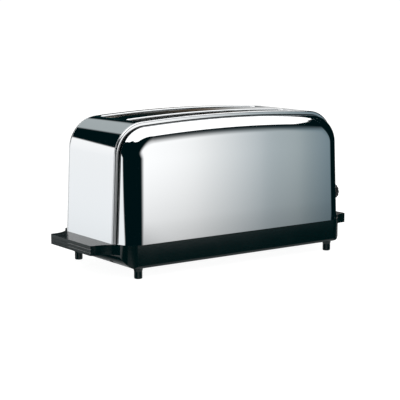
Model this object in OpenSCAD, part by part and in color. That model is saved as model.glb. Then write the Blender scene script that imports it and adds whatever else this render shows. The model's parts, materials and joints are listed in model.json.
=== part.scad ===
// Long-slot toaster: a polished steel shell on a black base with a carrying ledge at each end.
// X runs along the length with the controls at +X, the front faces -Y and the table is Z = 0.

/* [Shell] */
// Length of the shell at its bottom edge
shell_l = 388; // [380:1:396]
// Width over both side panels
shell_w = 177; // [176:1:190]
// Height of the shell's bottom edge above the table
shell_foot = 46.5; // [44:0.5:50]
// Height of the top of the shell above the table
shell_top = 211; // [209:1:220]
// Width of the band that wraps over the ends and the top
band_w = 123; // [121:1:124]
// Thickness of the steel sheet
sheet = 1; // [0.8:0.1:1.2]
// Radius where an end wall turns into the top
corner_r = 46; // [42:1:50]
// Radius of the long curve along the top
dome_r = 2030; // [1800:10:2600]
// Lean of the end walls in degrees
end_lean = 2.6; // [2:0.1:3.2]
// Radius of the band's rolled edges
rim_r = 4.5; // [3:0.5:5]
// Depth of the straight lip below a rolled edge
rim_lip = 3; // [2:0.5:4]
// Radius of the side panels' shoulders
shoulder_r = 25; // [22:0.5:25]
// Step down from the band's surface to a side panel at the seam
seam_step = 5.6; // [5:0.1:7]
// Gap between the band and a side panel at the seam
seam_gap = 0.4; // [0.3:0.1:0.6]
// Width of the side panels' flanges that stand on the base
flange_w = 12; // [10:1:14]
// Width of the band's flanges that stand on the base
end_flange_w = 18; // [17:0.5:20]

/* [Bread slots] */
// Length of a bread slot
slot_l = 270; // [260:1:272]
// Width of a bread slot
slot_w = 30; // [28:0.5:31]
// Distance between the two slots' centre lines
slot_pitch = 67; // [66:0.5:69]
// Place of the slots' middle along the length
slot_x = -10.5; // [-12:0.5:-9]
// Radius of a slot's corners
slot_r = 5; // [3:0.5:8]
// Depth of the turned-down lip round a slot
slot_lip = 6; // [4:0.5:7]

/* [Base] */
// Length of the base without its ledges
base_l = 380; // [376:1:384]
// Width of the base
base_w = 173.5; // [172:0.5:175]
// Wall thickness of the base
base_wall = 3; // [2.5:0.5:4]
// Height of the base's underside above the table
base_bottom = 14; // [12:0.5:16]
// Radius of the base's upright corners
base_corner_r = 19; // [16:1:20]
// Radius along the bottom edge of each end
base_end_r = 20; // [14:1:20]
// Radius along the bottom edge of each side
base_side_r = 4; // [2:0.5:5]
// Width of the rim that the shell stands on, at the ends
deck_end_w = 20; // [18:1:20]
// Width of the rim that the shell stands on, at the sides
deck_side_w = 13; // [12:0.5:15]
// Thickness of the two cross ribs that carry the bulkheads
rib_w = 7; // [6:0.5:9]

/* [Ledges] */
// Overall length over both ledges
ledge_span = 448; // [444:1:456]
// Width of a ledge at its tip
ledge_w = 110; // [100:1:116]
// Thickness of a ledge
ledge_t = 13.5; // [11:0.5:16]
// Radius of a ledge's tip corners
ledge_tip_r = 4; // [2:0.5:6]
// Radius of the hollow on each side of a ledge, where it flows out of the base's corner
ledge_flare_r = 31; // [28:1:33]
// Radius of the hollow under a ledge where it meets the base
ledge_cove_r = 7; // [4:0.5:9]
// Width of the two grooves along a ledge's outer face
groove_w = 1.4; // [1:0.1:2]
// Depth of those grooves
groove_d = 1; // [0.5:0.1:1.5]

/* [Feet] */
// Diameter of a foot
foot_d = 11.2; // [9:0.1:12]
// Diameter of a foot where it meets the base
foot_top_d = 13; // [12.2:0.1:13]
// Distance between the left and right feet
foot_pitch_x = 331; // [320:1:336]
// Distance between the front and rear feet
foot_pitch_y = 156; // [150:1:157]
// Diameter of the stud that holds a foot in the base
foot_stud_d = 6; // [5:0.1:8]

/* [Heating] */
// Gap from a slot's end to a bulkhead
end_gap = 4.5; // [4:0.5:5]
// Width of a bulkhead
bulkhead_w = 119; // [118:0.5:120]
// Height of the bulkheads' top edge above the table
bulkhead_top = 195; // [192:1:197]
// Diameter of the guard wires
guard_wire_d = 2; // [1.6:0.1:2.2]
// Number of upright wires in a guard
guard_wires = 10; // [8:1:14]
// Gap from a slot's side to the middle of a guard wire
guard_gap = 1.5; // [1.2:0.1:1.8]
// Thickness of a mica heater card
card_t = 0.8; // [0.5:0.1:1]
// Width of a resistance ribbon
ribbon_w = 3; // [2:0.5:4]
// Thickness of a resistance ribbon
ribbon_t = 0.5; // [0.3:0.1:0.6]
// Distance between neighbouring runs of a ribbon
ribbon_pitch = 12; // [9:0.5:14]
// Gap from a guard wire's middle to an outer card
card_gap = 4; // [3.5:0.5:4]
// Gap from an outer card to its reflector
reflector_gap = 2.5; // [2:0.1:3]

/* [Carriage] */
// Travel of the bread carriage
carriage_travel = 78; // [74:1:79]
// Height of the bread racks' top edge when up
rack_z = 138; // [137:0.5:140]
// Height of a rack's strip
rack_h = 8; // [6:0.5:9]
// Thickness of a rack's strip
rack_t = 1.6; // [1.2:0.1:2]
// Diameter of a rack's cross bars
perch_d = 2.4; // [2:0.1:3]
// Length of a rack's cross bars
perch_l = 20; // [16:1:24]
// Distance between a rack's cross bars
perch_pitch = 22; // [18:1:26]
// Diameter of the guide rod
rod_d = 6; // [5:0.1:7]
// Radial clearance of the carriage on its rod
rod_clear = 0.08; // [0.04:0.01:0.1]
// Wall of the carriage's sleeve
sleeve_wall = 2.5; // [2:0.1:3]
// Width of the lever arm
lever_w = 4; // [3:0.5:5]
// Height of the lever arm
lever_h = 8; // [6:0.5:9]
// Width of the lever knob
lever_knob_w = 40; // [34:1:48]
// Height of the lever knob
lever_knob_h = 18; // [16:0.5:18]
// Length of the lever knob
lever_knob_l = 24; // [20:0.5:25]
// Gap from the lever knob to the control panel when down
lever_gap = 3; // [2.5:0.1:4]

/* [Controls] */
// Thickness of the control panel
panel_t = 2; // [1.5:0.1:2.5]
// Width of the control panel
panel_w = 112; // [110:1:113]
// Distance from the middle to the knob and to the button
control_y = 41; // [38:0.5:42]
// Height of the knob and the button above the table
control_z = 80; // [76:1:90]
// Diameter of the browning knob
knob_d = 26; // [22:0.5:28]
// Length of the browning knob
knob_l = 16; // [14:0.5:18]
// Diameter of the control shaft
shaft_d = 6; // [5:0.1:6.4]
// Diameter of the cancel button
button_d = 16; // [14:0.5:18]
// Travel of the cancel button
button_travel = 3; // [2:0.5:3.5]
// Radial clearance of the button in the panel
button_clear = 0.3; // [0.2:0.05:0.5]

/* [Crumb tray] */
// Height of the crumb tray
tray_h = 14; // [10:0.5:16]
// Thickness of the crumb tray's sheet
tray_t = 1; // [0.8:0.1:1.5]
// Clearance round the crumb tray
tray_clear = 0.5; // [0.4:0.1:1]

/* [Fastenings] */
// Diameter of the small screws in the bulkheads' feet
small_screw_d = 2; // [1.6:0.1:2.2]
// Diameter of the other screws
screw_d = 3; // [2.5:0.1:3.5]
// Diameter of the screw heads
screw_head_d = 6; // [5:0.1:6.5]
// Height of the screw heads
screw_head_h = 2; // [1.5:0.1:2.5]
// Radial clearance of a screw in its hole
screw_clear = 0.1; // [0.05:0.01:0.2]
// Bore of the cord inlet
inlet_bore_d = 8; // [7:0.1:9]

/* [Hidden] */
$fn = 64;
fit = 0.3;                     // plain gap between pieces that must not touch
over = 2;                      // extra depth of a cutting shape
steel = "silver";
plastic = [0.05, 0.06, 0.06];

// Arch of the shell in the X-Z plane: end wall, corner and dome meet tangentially
wall_n = [cos(end_lean), sin(end_lean)];
dome_z = shell_top - dome_r;
wall_p = shell_l / 2 * wall_n[0] + shell_foot * wall_n[1];
corner_t = wall_p - corner_r - dome_z * wall_n[1];
corner_s = sqrt(pow(dome_r - corner_r, 2) - pow(corner_t, 2));
corner_x = corner_t * wall_n[0] - corner_s * wall_n[1];
corner_z = dome_z + corner_t * wall_n[1] + corner_s * wall_n[0];
dome_half = atan2(corner_x, corner_z - dome_z);
corner_turn = 90 - dome_half - end_lean;
corner_steps = 16;             // straight steps round a corner
dome_steps = 24;               // straight steps along the dome
round_steps = 8;               // straight steps round a rolled edge or a shoulder
wall_h = (corner_z + corner_r * wall_n[1] - shell_foot) / wall_n[0];

// Outer face of the right end wall at a height
function wall_x(z) = (wall_p - z * wall_n[1]) / wall_n[0];

// Direction of the arch's outward normal at each step, from the right wall to the left one
arch_turns = concat(
    [for (i = [0 : corner_steps - 1]) end_lean + corner_turn * i / corner_steps],
    [for (i = [0 : dome_steps]) 90 - dome_half + 2 * dome_half * i / dome_steps],
    [for (i = [1 : corner_steps]) 90 + dome_half + corner_turn * i / corner_steps]
);

// Point of the arch in X and Z where its normal has a direction, at a depth under the outer surface
function arch_point(turn, depth) =
    let (on_dome = abs(turn - 90) <= dome_half, side = turn < 90 ? 1 : -1)
    let (middle = on_dome ? [0, dome_z] : [side * corner_x, corner_z])
        middle + ((on_dome ? dome_r : corner_r) - depth) * [cos(turn), sin(turn)];

// Line along the whole arch at a depth, from the right foot to the left one
function arch_line(depth) =
    let (foot_x = wall_x(shell_foot) - depth / wall_n[0])
        concat([[foot_x, shell_foot]], [for (a = arch_turns) arch_point(a, depth)], [[-foot_x, shell_foot]]);

// A list backwards, and points on the other side
function flipped(points) = [for (i = [len(points) - 1 : -1 : 0]) points[i]];
function mirrored(points) = [for (p = points) [p[0], -p[1]]];

// Points on an arc
function arc(middle, r, from, to) =
    [for (i = [0 : round_steps])
        let (a = from + (to - from) * i / round_steps) middle + r * [cos(a), sin(a)]];

// Base heights
floor_z = base_bottom + base_wall;
deck_under = shell_foot - base_wall;
end_r = min(base_end_r, deck_end_w);   // the bottom edge's round stays outside the rim
blend_lap = 0.3;               // how far a hollow's circle runs into the round that it flows out of

// Bulkheads and what lies between them
heat_l = slot_l + 2 * end_gap;
heat_x0 = slot_x - heat_l / 2;
heat_x1 = slot_x + heat_l / 2;
slot_y = slot_pitch / 2;
guard_off = slot_w / 2 + guard_gap;
card_y = slot_y + guard_off + card_gap;
reflector_y = card_y + card_t + reflector_gap;
guard_rise = 9;                // from the base's rim to a guard's lower rail
guard_drop = 3;                // from the bulkheads' top to a guard's upper rail
guard_z0 = shell_foot + guard_rise;
guard_z1 = bulkhead_top - guard_drop;
rail_extra = 0.4;              // how much thicker a guard's rails are than its wires
rail_d = guard_wire_d + rail_extra;
card_rise = 12;
card_drop = 5;
card_z0 = shell_foot + card_rise;
card_z1 = bulkhead_top - card_drop;
reflector_rise = 3;
reflector_drop = 1;
rack_side_clear = 0.7;         // from a rack's strip to the side of its slot in a bulkhead
rack_end_clear = 1.5;          // from a rack to the end of that slot
rack_slot_w = rack_t + 2 * rack_side_clear;
rack_slot_z0 = rack_z - rack_h - carriage_travel - rack_end_clear;
rack_slot_z1 = rack_z + perch_d + rack_end_clear;

// Carriage
plate_t = 2;
plate_gap = 8;                 // from the right bulkhead to the carriage plate
plate_x = heat_x1 + sheet + plate_gap;
plate_margin = 8;              // from a rack to the carriage plate's edge
rod_off = 12;                  // from the carriage plate to the rod's middle
rod_x = plate_x + rod_off;
sleeve_d = rod_d + 2 * rod_clear + 2 * sleeve_wall;
carriage_h = 20;
carriage_z0 = rack_z - carriage_h / 2;
ear_y = 24;                    // from the middle to the spring and to the latch
ear_w = 16;
ear_l = rod_off + ear_w / 2;
ear_t = 2;
keeper_t = 3;
keeper_w = 14;
magnet_z1 = carriage_z0 - keeper_t - carriage_travel - fit;
rod_drop = 6;                  // from the bulkheads' top to the rod bracket
spring_r = 3.5;                // middle of the carriage spring's wire to its axis
spring_wire_d = 1;
spring_turns = 14;
rod_z1 = bulkhead_top - rod_drop;
bracket_t = 2;
bracket_tab_h = 10;
lever_z = rack_z;
lever_knob_x = wall_x(lever_z - carriage_travel) + panel_t + lever_gap;
lever_pocket = 12;             // depth of the lever arm in its knob
lever_knob_r = 6;
lever_side_clear = 1.2;        // from the lever arm to the side of the panel's slot
lever_end_clear = 1;           // from the lever arm to the end of the panel's slot

// Controls
panel_edge = 6;
panel_rise = 2;                // from the shell's bottom edge to the panel
panel_z0 = shell_foot + panel_rise;
panel_h = 106;
panel_hole_clear = 1;          // round the control shaft
board_t = 1.6;
board_gap = 0.6;               // from the board to the base's end rim
board_x = base_l / 2 - deck_end_w - board_gap - board_t;
board_margin = 15;
board_w = 2 * (control_y + board_margin);
board_rise = 28;               // from the controls' height to the board's top edge
board_top = control_z + board_rise;
board_slot_clear = 3;          // round the lever arm
pot_d = 17;
pot_l = 9;
bushing_d = 9;
bushing_l = 7;
pot_back = 2;                  // wall behind the shaft
knob_gap = 1;                  // from the control panel to the knob
knob_x = wall_x(control_z - knob_d / 2) + panel_t + knob_gap;
knob_cap = 4;                  // solid end of the knob
knob_clear = 0.02;             // radial clearance of the knob on its shaft
shaft_end = knob_x + knob_l - knob_cap - fit;
switch_l = 6.4;
switch_w = 12;
stem_d = 5;
stem_x = board_x + board_t + switch_l + button_travel + fit;
stem_l = 6;
cap_flange_t = 2;
cap_flange_rim = 1.5;
cap_x = stem_x + stem_l;
cap_proud = 5;                 // how far the button stands out of the panel
cap_end = wall_x(control_z) + panel_t + cap_proud;
cap_flange_d = button_d + 2 * cap_flange_rim;
spring_gap = 1.1;              // from the button's stem to its spring's wire

// Crumb tray between the two ribs
tray_x0 = heat_x0 - sheet / 2 + rib_w / 2 + tray_clear;
tray_x1 = heat_x1 + sheet / 2 - rib_w / 2 - tray_clear;
tray_front_gap = 4;            // from the base's front wall to the tray
tray_y0 = -base_w / 2 + base_wall + tray_front_gap;
tray_z = floor_z + tray_clear;
tray_grip_l = 90;
tray_grip_w = 1.6;
tray_grip_h = 2.5;
tray_grip_drop = 1.5;          // from the tray's top edge to its grip

// Shell screws stand on the rim at each end
shell_screw_off = 1;           // from the middle of the end rim to a screw
shell_screw_x = base_l / 2 - deck_end_w / 2 + shell_screw_off;
shell_screw_y = 40;
screw_grip = 4;                // length of a screw past the sheet that it holds
driver_clear = 1.5;            // round a screw head, for the driver

// Cord inlet and terminals
inlet_off = 9;                // from the guide rod to the inlet
inlet_rise = 11;               // from the base's floor to the inlet
inlet_x = rod_x + inlet_off;
inlet_z = floor_z + inlet_rise;
inlet_wall = 2.5;              // wall of the grommet in the base
inlet_seat_d = inlet_bore_d + 2 * inlet_wall;
inlet_lip = 2;                 // how far the grommet's lips stand out round its seat
inlet_lip_t = 1.2;
terminal_y = 50;
terminal_w = 16;
terminal_h = 12;
terminal_hole_d = 4;

// Shapes shared by several pieces

// Copies a piece to the other end or side
module both_ends() {
    children();
    mirror([1, 0, 0]) children();
}
module both_sides() {
    children();
    mirror([0, 1, 0]) children();
}

// Raises a drawing in X and Z into a plate from y to y + t
module upright(y, t) {
    translate([0, y + t, 0]) rotate([90, 0, 0]) linear_extrude(t) children();
}

// Lays a cylinder along X from a point
module along_x(x, y, z, d, l) {
    translate([x, y, z]) rotate([0, 90, 0]) cylinder(d = d, h = l);
}

// Rectangle with round corners, centred
module round_rect(l, w, r) {
    square([l, w - 2 * r], center = true);
    square([l - 2 * r, w], center = true);
    for (x = [-1, 1], y = [-1, 1]) translate([x * (l / 2 - r), y * (w / 2 - r)]) circle(r);
}

// Moves to the right end wall: x is 0 on its outer face, z is 0 at the shell's bottom edge
module on_end_wall() {
    translate([corner_x, 0, corner_z]) rotate([0, -end_lean, 0])
        translate([corner_r, 0, -wall_h]) children();
}

// Sweeps a section along the arch, its x being the depth under the outer surface and its y the place in Y.
// The section runs along the outside and back along the inside, with as many points on each.
// It closes on itself for a band. For a pan it is open, and its two ends carry the pan's flat walls.
module along_arch(section, pan = false) {
    lines = [for (s = section) arch_line(s[0])];
    m = len(section);
    n = len(lines[0]);
    points = [for (i = [0 : n - 1], k = [0 : m - 1]) [lines[k][i][0], section[k][1], lines[k][i][1]]];
    sides = [for (i = [0 : n - 2], k = [0 : pan ? m - 2 : m - 1])
        let (a = i * m + k, b = i * m + (k + 1) % m) [a, b, b + m, a + m]];
    ends = [for (k = [0 : m / 2 - 2]) let (q = [k, k + 1, m - 2 - k, m - 1 - k])
        each [flipped(q), [for (v = q) (n - 1) * m + v]]];
    walls = !pan ? [] : [
        [for (i = [0 : n - 1]) i * m],
        [for (i = [n - 1 : -1 : 0]) i * m + m - 1],
        [0, (n - 1) * m, n * m - 1, m - 1]
    ];
    polyhedron(points = points, faces = concat(sides, ends, walls));
}

// Solid layer under the arch between two depths, as wide as the band
module arch_layer(top, under) {
    upright(-band_w / 2, band_w) polygon(concat(arch_line(top), flipped(arch_line(under))));
}

// Pan-head screw pointing down from z = 0 with its head above
module screw(l, d = screw_d, head_d = screw_head_d) {
    translate([0, 0, -l]) cylinder(d = d, h = l);
    cylinder(d = head_d, h = screw_head_h);
}

// Hole for such a screw
module screw_hole(l, d = screw_d) {
    translate([0, 0, -l]) cylinder(d = d + 2 * screw_clear, h = 2 * l);
}

// Points along a coil about Z and the tube round them
function coil_points(r, l, turns) =
    [for (i = [0 : 8 * turns]) [r * cos(45 * i), r * sin(45 * i), l * i / (8 * turns)]];

module coil(r, wire_d, l, turns) {
    path = coil_points(r, l - wire_d, turns);
    sides = 6;
    last = len(path) - 1;
    slope = atan2(l - wire_d, 2 * PI * r * turns);
    gap = min([for (i = [0 : last - 8]) norm(path[i + 8] - path[i])]) - wire_d;
    echo("least gap between the curls of a spring", gap);
    ring = [for (i = [0 : last], s = [0 : sides - 1])
        let (out = wire_d / 2 * cos(60 * s), up = wire_d / 2 * sin(60 * s), a = 45 * i)
            path[i] + [out * cos(a) + up * sin(slope) * sin(a),
                       out * sin(a) - up * sin(slope) * cos(a),
                       up * cos(slope) + wire_d / 2]];
    walls = [for (i = [0 : last - 1], s = [0 : sides - 1])
        let (a = i * sides + s, b = i * sides + (s + 1) % sides)
            each [[a, b, a + sides], [b, b + sides, a + sides]]];
    start = [for (s = [1 : sides - 2]) [0, s + 1, s]];
    finish = [for (s = [1 : sides - 2]) [last * sides, last * sides + s, last * sides + s + 1]];
    polyhedron(points = ring, faces = concat(walls, start, finish));
}

// Shell

// Half of the band's edge: lip, rolled edge and start of the flat top, outside and inside
function rim_outside(y) = concat([[rim_r + rim_lip, y]], arc([rim_r, y - rim_r], rim_r, 90, 180));
function rim_inside(y) =
    concat([[rim_r + rim_lip, y - sheet]], arc([rim_r, y - rim_r], rim_r - sheet, 90, 180));

// Section of the band: flat sheet, rolled edges and their lips
band_section = concat(
    rim_outside(band_w / 2), flipped(mirrored(rim_outside(band_w / 2))),
    mirrored(rim_inside(band_w / 2)), flipped(rim_inside(band_w / 2))
);

// Section of a side panel: from the flat face round the shoulder to the seam's lip and back inside
seam_y = band_w / 2 + seam_gap;
face_y = shell_w / 2;
seam_flat = 0.5;               // least flat stretch beside the seam
shoulder = min(shoulder_r, face_y - seam_y - sheet - seam_flat);
shoulder_at = [seam_step + shoulder, face_y - shoulder];
panel_section = concat(
    arc(shoulder_at, shoulder, 90, 180),
    [[seam_step, seam_y], [seam_step + rim_lip, seam_y]],
    [[seam_step + rim_lip, seam_y + sheet], [seam_step + sheet, seam_y + sheet]],
    arc(shoulder_at, shoulder - sheet, 180, 90)
);

module side_panel() {
    flange_l = shell_l - 2 * (seam_step + shoulder + flange_w);
    along_arch(panel_section, pan = true);
    translate([-flange_l / 2, face_y - flange_w, shell_foot]) cube([flange_l, flange_w - sheet / 2, sheet]);
}

module front_side_panel() {
    color(steel) mirror([0, 1, 0]) side_panel();
}

module rear_side_panel() {
    color(steel) side_panel();
}

// Upright prism through both bread slots
module slot_prisms(extra, z0, z1) {
    both_sides() translate([slot_x, slot_y, z0]) linear_extrude(z1 - z0)
        round_rect(slot_l + 2 * extra, slot_w + 2 * extra, slot_r + extra);
}

module wrap_band() {
    slot_z0 = shell_top - 5 * slot_lip;
    color(steel) difference() {
        union() {
            along_arch(band_section);
            intersection() {
                slot_prisms(sheet, slot_z0, shell_top + over);
                arch_layer(sheet / 2, slot_lip);
            }
            both_ends() translate([shell_l / 2 - end_flange_w, rim_r - band_w / 2, shell_foot])
                cube([end_flange_w - sheet / 2, band_w - 2 * rim_r, sheet]);
        }
        slot_prisms(0, slot_z0 - over, shell_top + over);
        on_end_wall() translate([-flange_w, panel_edge - panel_w / 2, panel_z0 + panel_edge - shell_foot])
            cube([2 * flange_w, panel_w - 2 * panel_edge, panel_h - 2 * panel_edge]);
        panel_screw_places() screw_hole(flange_w);
        shell_screw_places() screw_hole(flange_w);
    }
}

module control_panel() {
    slot_half = lever_w / 2 + lever_side_clear;
    slot_z0 = lever_z - lever_h / 2 - carriage_travel - lever_end_clear;
    slot_z1 = lever_z + lever_h / 2 + lever_end_clear;
    color(plastic) difference() {
        on_end_wall() translate([0, 0, panel_z0 - shell_foot + panel_h / 2]) rotate([0, 90, 0])
            linear_extrude(panel_t) round_rect(panel_h, panel_w, panel_edge);
        translate([corner_x, -slot_half, slot_z0]) cube([shell_l, 2 * slot_half, slot_z1 - slot_z0]);
        along_x(corner_x, -control_y, control_z, shaft_d + 2 * panel_hole_clear, shell_l);
        along_x(corner_x, control_y, control_z, button_d + 2 * button_clear, shell_l);
        panel_screw_places() screw_hole(flange_w);
    }
}

// Screws in the panel's four corners, heads on its outer face
module panel_screw_places() {
    for (y = [-1, 1], z = [panel_edge, panel_h - panel_edge])
        on_end_wall() translate([panel_t, y * (panel_w / 2 - panel_edge / 2), panel_z0 - shell_foot + z])
            rotate([0, 90, 0]) children();
}

module panel_screws() {
    color(steel) panel_screw_places() screw(panel_t + screw_grip);
}

// Base

// Block between two heights, set in from the base's outside, with round corners and round bottom edges
module base_block(inset, z0, z1) {
    least_r = 0.5;
    l = base_l - 2 * inset;
    w = base_w - 2 * inset;
    corner_r = max(base_corner_r - inset, least_r);
    bottom_r = max(end_r - inset, least_r);
    side_r = max(base_side_r - inset, least_r);
    intersection() {
        translate([0, 0, z0]) linear_extrude(z1 - z0) round_rect(l, w, corner_r);
        upright(-w / 2, w) translate([0, z0]) bottom_rounded(l, z1 - z0, bottom_r);
        rotate([0, 0, 90]) upright(-l / 2, l) translate([0, z0]) bottom_rounded(w, z1 - z0, side_r);
    }
}

// Rectangle on its bottom edge with the two lower corners round
module bottom_rounded(l, h, r) {
    translate([-l / 2, r]) square([l, h - r]);
    translate([r - l / 2, 0]) square([l - 2 * r, h]);
    for (x = [-1, 1]) translate([x * (l / 2 - r), r]) circle(r);
}

// Plan of the right ledge: straight tip, and on each side a hollow that flows out of the base's round corner
module ledge_plan() {
    root_x = base_l / 2 - base_corner_r;
    root_y = base_w / 2 - base_corner_r;
    flare_y = ledge_w / 2 + ledge_flare_r;
    reach = ledge_flare_r + base_corner_r - blend_lap;
    flare_x = root_x + sqrt(pow(reach, 2) - pow(flare_y - root_y, 2));
    meet_y = root_y + (flare_y - root_y) * base_corner_r / reach;
    tip_x = ledge_span / 2;
    difference() {
        union() {
            translate([root_x, -ledge_w / 2]) square([tip_x - root_x - ledge_tip_r, ledge_w]);
            translate([root_x, ledge_tip_r - ledge_w / 2]) square([tip_x - root_x, ledge_w - 2 * ledge_tip_r]);
            both_sides() translate([tip_x - ledge_tip_r, ledge_w / 2 - ledge_tip_r]) circle(ledge_tip_r);
            both_sides() translate([root_x, 0]) square([flare_x - root_x, meet_y]);
        }
        both_sides() translate([flare_x, flare_y]) circle(ledge_flare_r);
    }
}

module ledge() {
    under = shell_foot - ledge_t;
    cove_z = under - ledge_cove_r;
    drop = max(base_bottom + end_r - cove_z, 0);
    reach = end_r + ledge_cove_r - blend_lap;
    cove_x = base_l / 2 - end_r + sqrt(pow(reach, 2) - pow(drop, 2));
    meet_z = cove_z + drop * ledge_cove_r / reach;
    wall_x = base_l / 2 - base_wall;
    difference() {
        translate([0, 0, under]) linear_extrude(ledge_t) ledge_plan();
        for (k = [1, 2]) translate([ledge_span / 2 - groove_d, -ledge_w, under + k * ledge_t / 3 - groove_w / 2])
            cube([2 * groove_d, 2 * ledge_w, groove_w]);
    }
    upright(-ledge_w / 2, ledge_w) difference() {
        translate([wall_x, meet_z]) square([cove_x - wall_x, under - meet_z]);
        translate([cove_x, cove_z]) circle(ledge_cove_r);
    }
}

module base() {
    inner_w = base_w - 2 * base_wall;
    color(plastic) difference() {
        union() {
            difference() {
                union() {
                    base_block(0, base_bottom, shell_foot);
                    both_ends() ledge();
                }
                base_block(base_wall, floor_z, deck_under);
                translate([deck_end_w - base_l / 2, deck_side_w - base_w / 2, floor_z])
                    cube([base_l - 2 * deck_end_w, base_w - 2 * deck_side_w, shell_foot]);
            }
            for (x = [heat_x0 - sheet / 2, heat_x1 + sheet / 2])
                translate([x - rib_w / 2, -inner_w / 2 - base_wall / 2, floor_z - base_wall / 2])
                    cube([rib_w, inner_w + base_wall, shell_foot - floor_z + base_wall / 2]);
        }
        translate([tray_x0 - tray_clear, 0, floor_z])
            cube([tray_x1 - tray_x0 + 2 * tray_clear, base_w, tray_h + 2 * tray_clear]);
        shell_screw_places() {
            screw_hole(flange_w);
            translate([0, 0, -base_l]) cylinder(d = screw_head_d + 2 * driver_clear, h = base_l - base_wall - screw_head_h);
        }
        bulkhead_screw_places() screw_hole(flange_w, small_screw_d);
        foot_places() cylinder(d = foot_stud_d + 2 * screw_clear, h = floor_z + over);
        translate([inlet_x, 0, inlet_z]) rotate([-90, 0, 0]) cylinder(d = inlet_seat_d, h = base_w);
    }
}

// Four corners of the base, mirrored from the front left one
module foot_places() {
    for (x = [-1, 1], y = [-1, 1]) foot_at(x, y) children();
}

module foot_at(x, y) {
    translate([x * foot_pitch_x / 2, y * foot_pitch_y / 2, 0]) children();
}

module foot() {
    toe_r = 1.5;
    flare_h = 4;
    stud_proud = 4;
    color(plastic) rotate_extrude() {
        translate([0, toe_r]) square([foot_d / 2, base_bottom - toe_r]);
        square([foot_d / 2 - toe_r, base_bottom]);
        translate([foot_d / 2 - toe_r, toe_r]) circle(toe_r);
        polygon([
            [0, base_bottom - flare_h], [foot_d / 2, base_bottom - flare_h],
            [foot_top_d / 2, base_bottom], [0, base_bottom]
        ]);
        square([foot_stud_d / 2, floor_z + stud_proud]);
    }
}

module front_left_foot() { foot_at(-1, -1) foot(); }
module front_right_foot() { foot_at(1, -1) foot(); }
module rear_left_foot() { foot_at(-1, 1) foot(); }
module rear_right_foot() { foot_at(1, 1) foot(); }

// Screws that hold the band's end flanges on the base, driven up from below
module shell_screw_places() {
    for (x = [-1, 1], y = [-1, 1]) translate([x * shell_screw_x, y * shell_screw_y, shell_foot]) children();
}

module shell_screws() {
    color(steel) shell_screw_places() translate([0, 0, -base_wall]) rotate([180, 0, 0])
        screw(base_wall + screw_grip);
}

// Shallow pan that slides out at the back, with its face filling the window in the base
module crumb_tray() {
    tray_l = tray_x1 - tray_x0;
    back_y = base_w / 2;
    color("silver") translate([tray_x0, 0, tray_z]) {
        difference() {
            translate([0, tray_y0, 0]) cube([tray_l, back_y - tray_y0, tray_h]);
            translate([tray_t, tray_y0 + tray_t, tray_t])
                cube([tray_l - 2 * tray_t, back_y - base_wall - tray_y0 - tray_t, tray_h]);
        }
        translate([(tray_l - tray_grip_l) / 2, back_y, tray_h - tray_grip_drop - tray_grip_h])
            cube([tray_grip_l, tray_grip_w, tray_grip_h]);
    }
}

// Heating

// Plate between the shell and the slots, standing on a rib
module bulkhead_plate() {
    difference() {
        union() {
            translate([0, -bulkhead_w / 2, shell_foot]) cube([sheet, bulkhead_w, bulkhead_top - shell_foot]);
            translate([-(rib_w - sheet) / 2, -bulkhead_w / 2, shell_foot])
                cube([(rib_w + sheet) / 2, bulkhead_w, sheet]);
        }
        for (y = [-slot_y, slot_y]) translate([-over, y - rack_slot_w / 2, rack_slot_z0])
            cube([2 * over + sheet, rack_slot_w, rack_slot_z1 - rack_slot_z0]);
    }
}

module left_bulkhead() {
    color(steel) difference() {
        translate([heat_x0 - sheet, 0, 0]) bulkhead_plate();
        bulkhead_screw_places() screw_hole(flange_w, small_screw_d);
    }
}

module right_bulkhead() {
    color(steel) difference() {
        translate([heat_x1 + sheet, 0, 0]) mirror([1, 0, 0]) bulkhead_plate();
        bulkhead_screw_places() screw_hole(flange_w, small_screw_d);
    }
}

// Screws through each bulkhead's foot into its rib
module bulkhead_screw_places() {
    lane = (rib_w - sheet) / 4;
    screw_inset = 8;
    for (x = [heat_x0 - sheet - lane, heat_x1 + sheet + lane], y = [-1, 1])
        translate([x, y * (bulkhead_w / 2 - screw_inset), shell_foot + sheet]) children();
}

module bulkhead_screws() {
    head_d = (rib_w - sheet) / 2 - 2 * screw_clear;
    color(steel) bulkhead_screw_places() screw(2 * screw_grip, small_screw_d, head_d);
}

// Upright sheet that spans the two bulkheads
module spanning_sheet(y, t, z0, z1) {
    translate([heat_x0, y, z0]) cube([heat_l, t, z1 - z0]);
}

module reflector() {
    spanning_sheet(reflector_y, card_t, shell_foot + reflector_rise, bulkhead_top - reflector_drop);
}

module front_reflector() {
    color(steel) mirror([0, 1, 0]) reflector();
}

module rear_reflector() {
    color(steel) reflector();
}

module front_heater_card() {
    color("tan") mirror([0, 1, 0]) spanning_sheet(card_y, card_t, card_z0, card_z1);
}

module centre_heater_card() {
    color("tan") spanning_sheet(-card_t / 2, card_t, card_z0, card_z1);
}

module rear_heater_card() {
    color("tan") spanning_sheet(card_y, card_t, card_z0, card_z1);
}

// One unbroken ribbon that runs up and down over a card's face
module ribbon(y) {
    margin = 8;
    runs = floor((heat_l - 2 * margin) / ribbon_pitch);
    x0 = heat_x0 + (heat_l - (runs - 1) * ribbon_pitch - ribbon_w) / 2;
    z0 = card_z0 + margin;
    z1 = card_z1 - margin;
    translate([x0, y, 0]) {
        for (i = [0 : runs - 1]) translate([i * ribbon_pitch, 0, z0]) cube([ribbon_w, ribbon_t, z1 - z0]);
        for (i = [0 : runs - 2]) translate([i * ribbon_pitch, 0, i % 2 == 0 ? z1 - ribbon_w : z0])
            cube([ribbon_pitch + ribbon_w, ribbon_t, ribbon_w]);
    }
}

module front_ribbon() {
    color("dimgray") mirror([0, 1, 0]) ribbon(card_y - ribbon_t);
}

module centre_front_ribbon() {
    color("dimgray") mirror([0, 1, 0]) ribbon(card_t / 2);
}

module centre_rear_ribbon() {
    color("dimgray") ribbon(card_t / 2);
}

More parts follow.
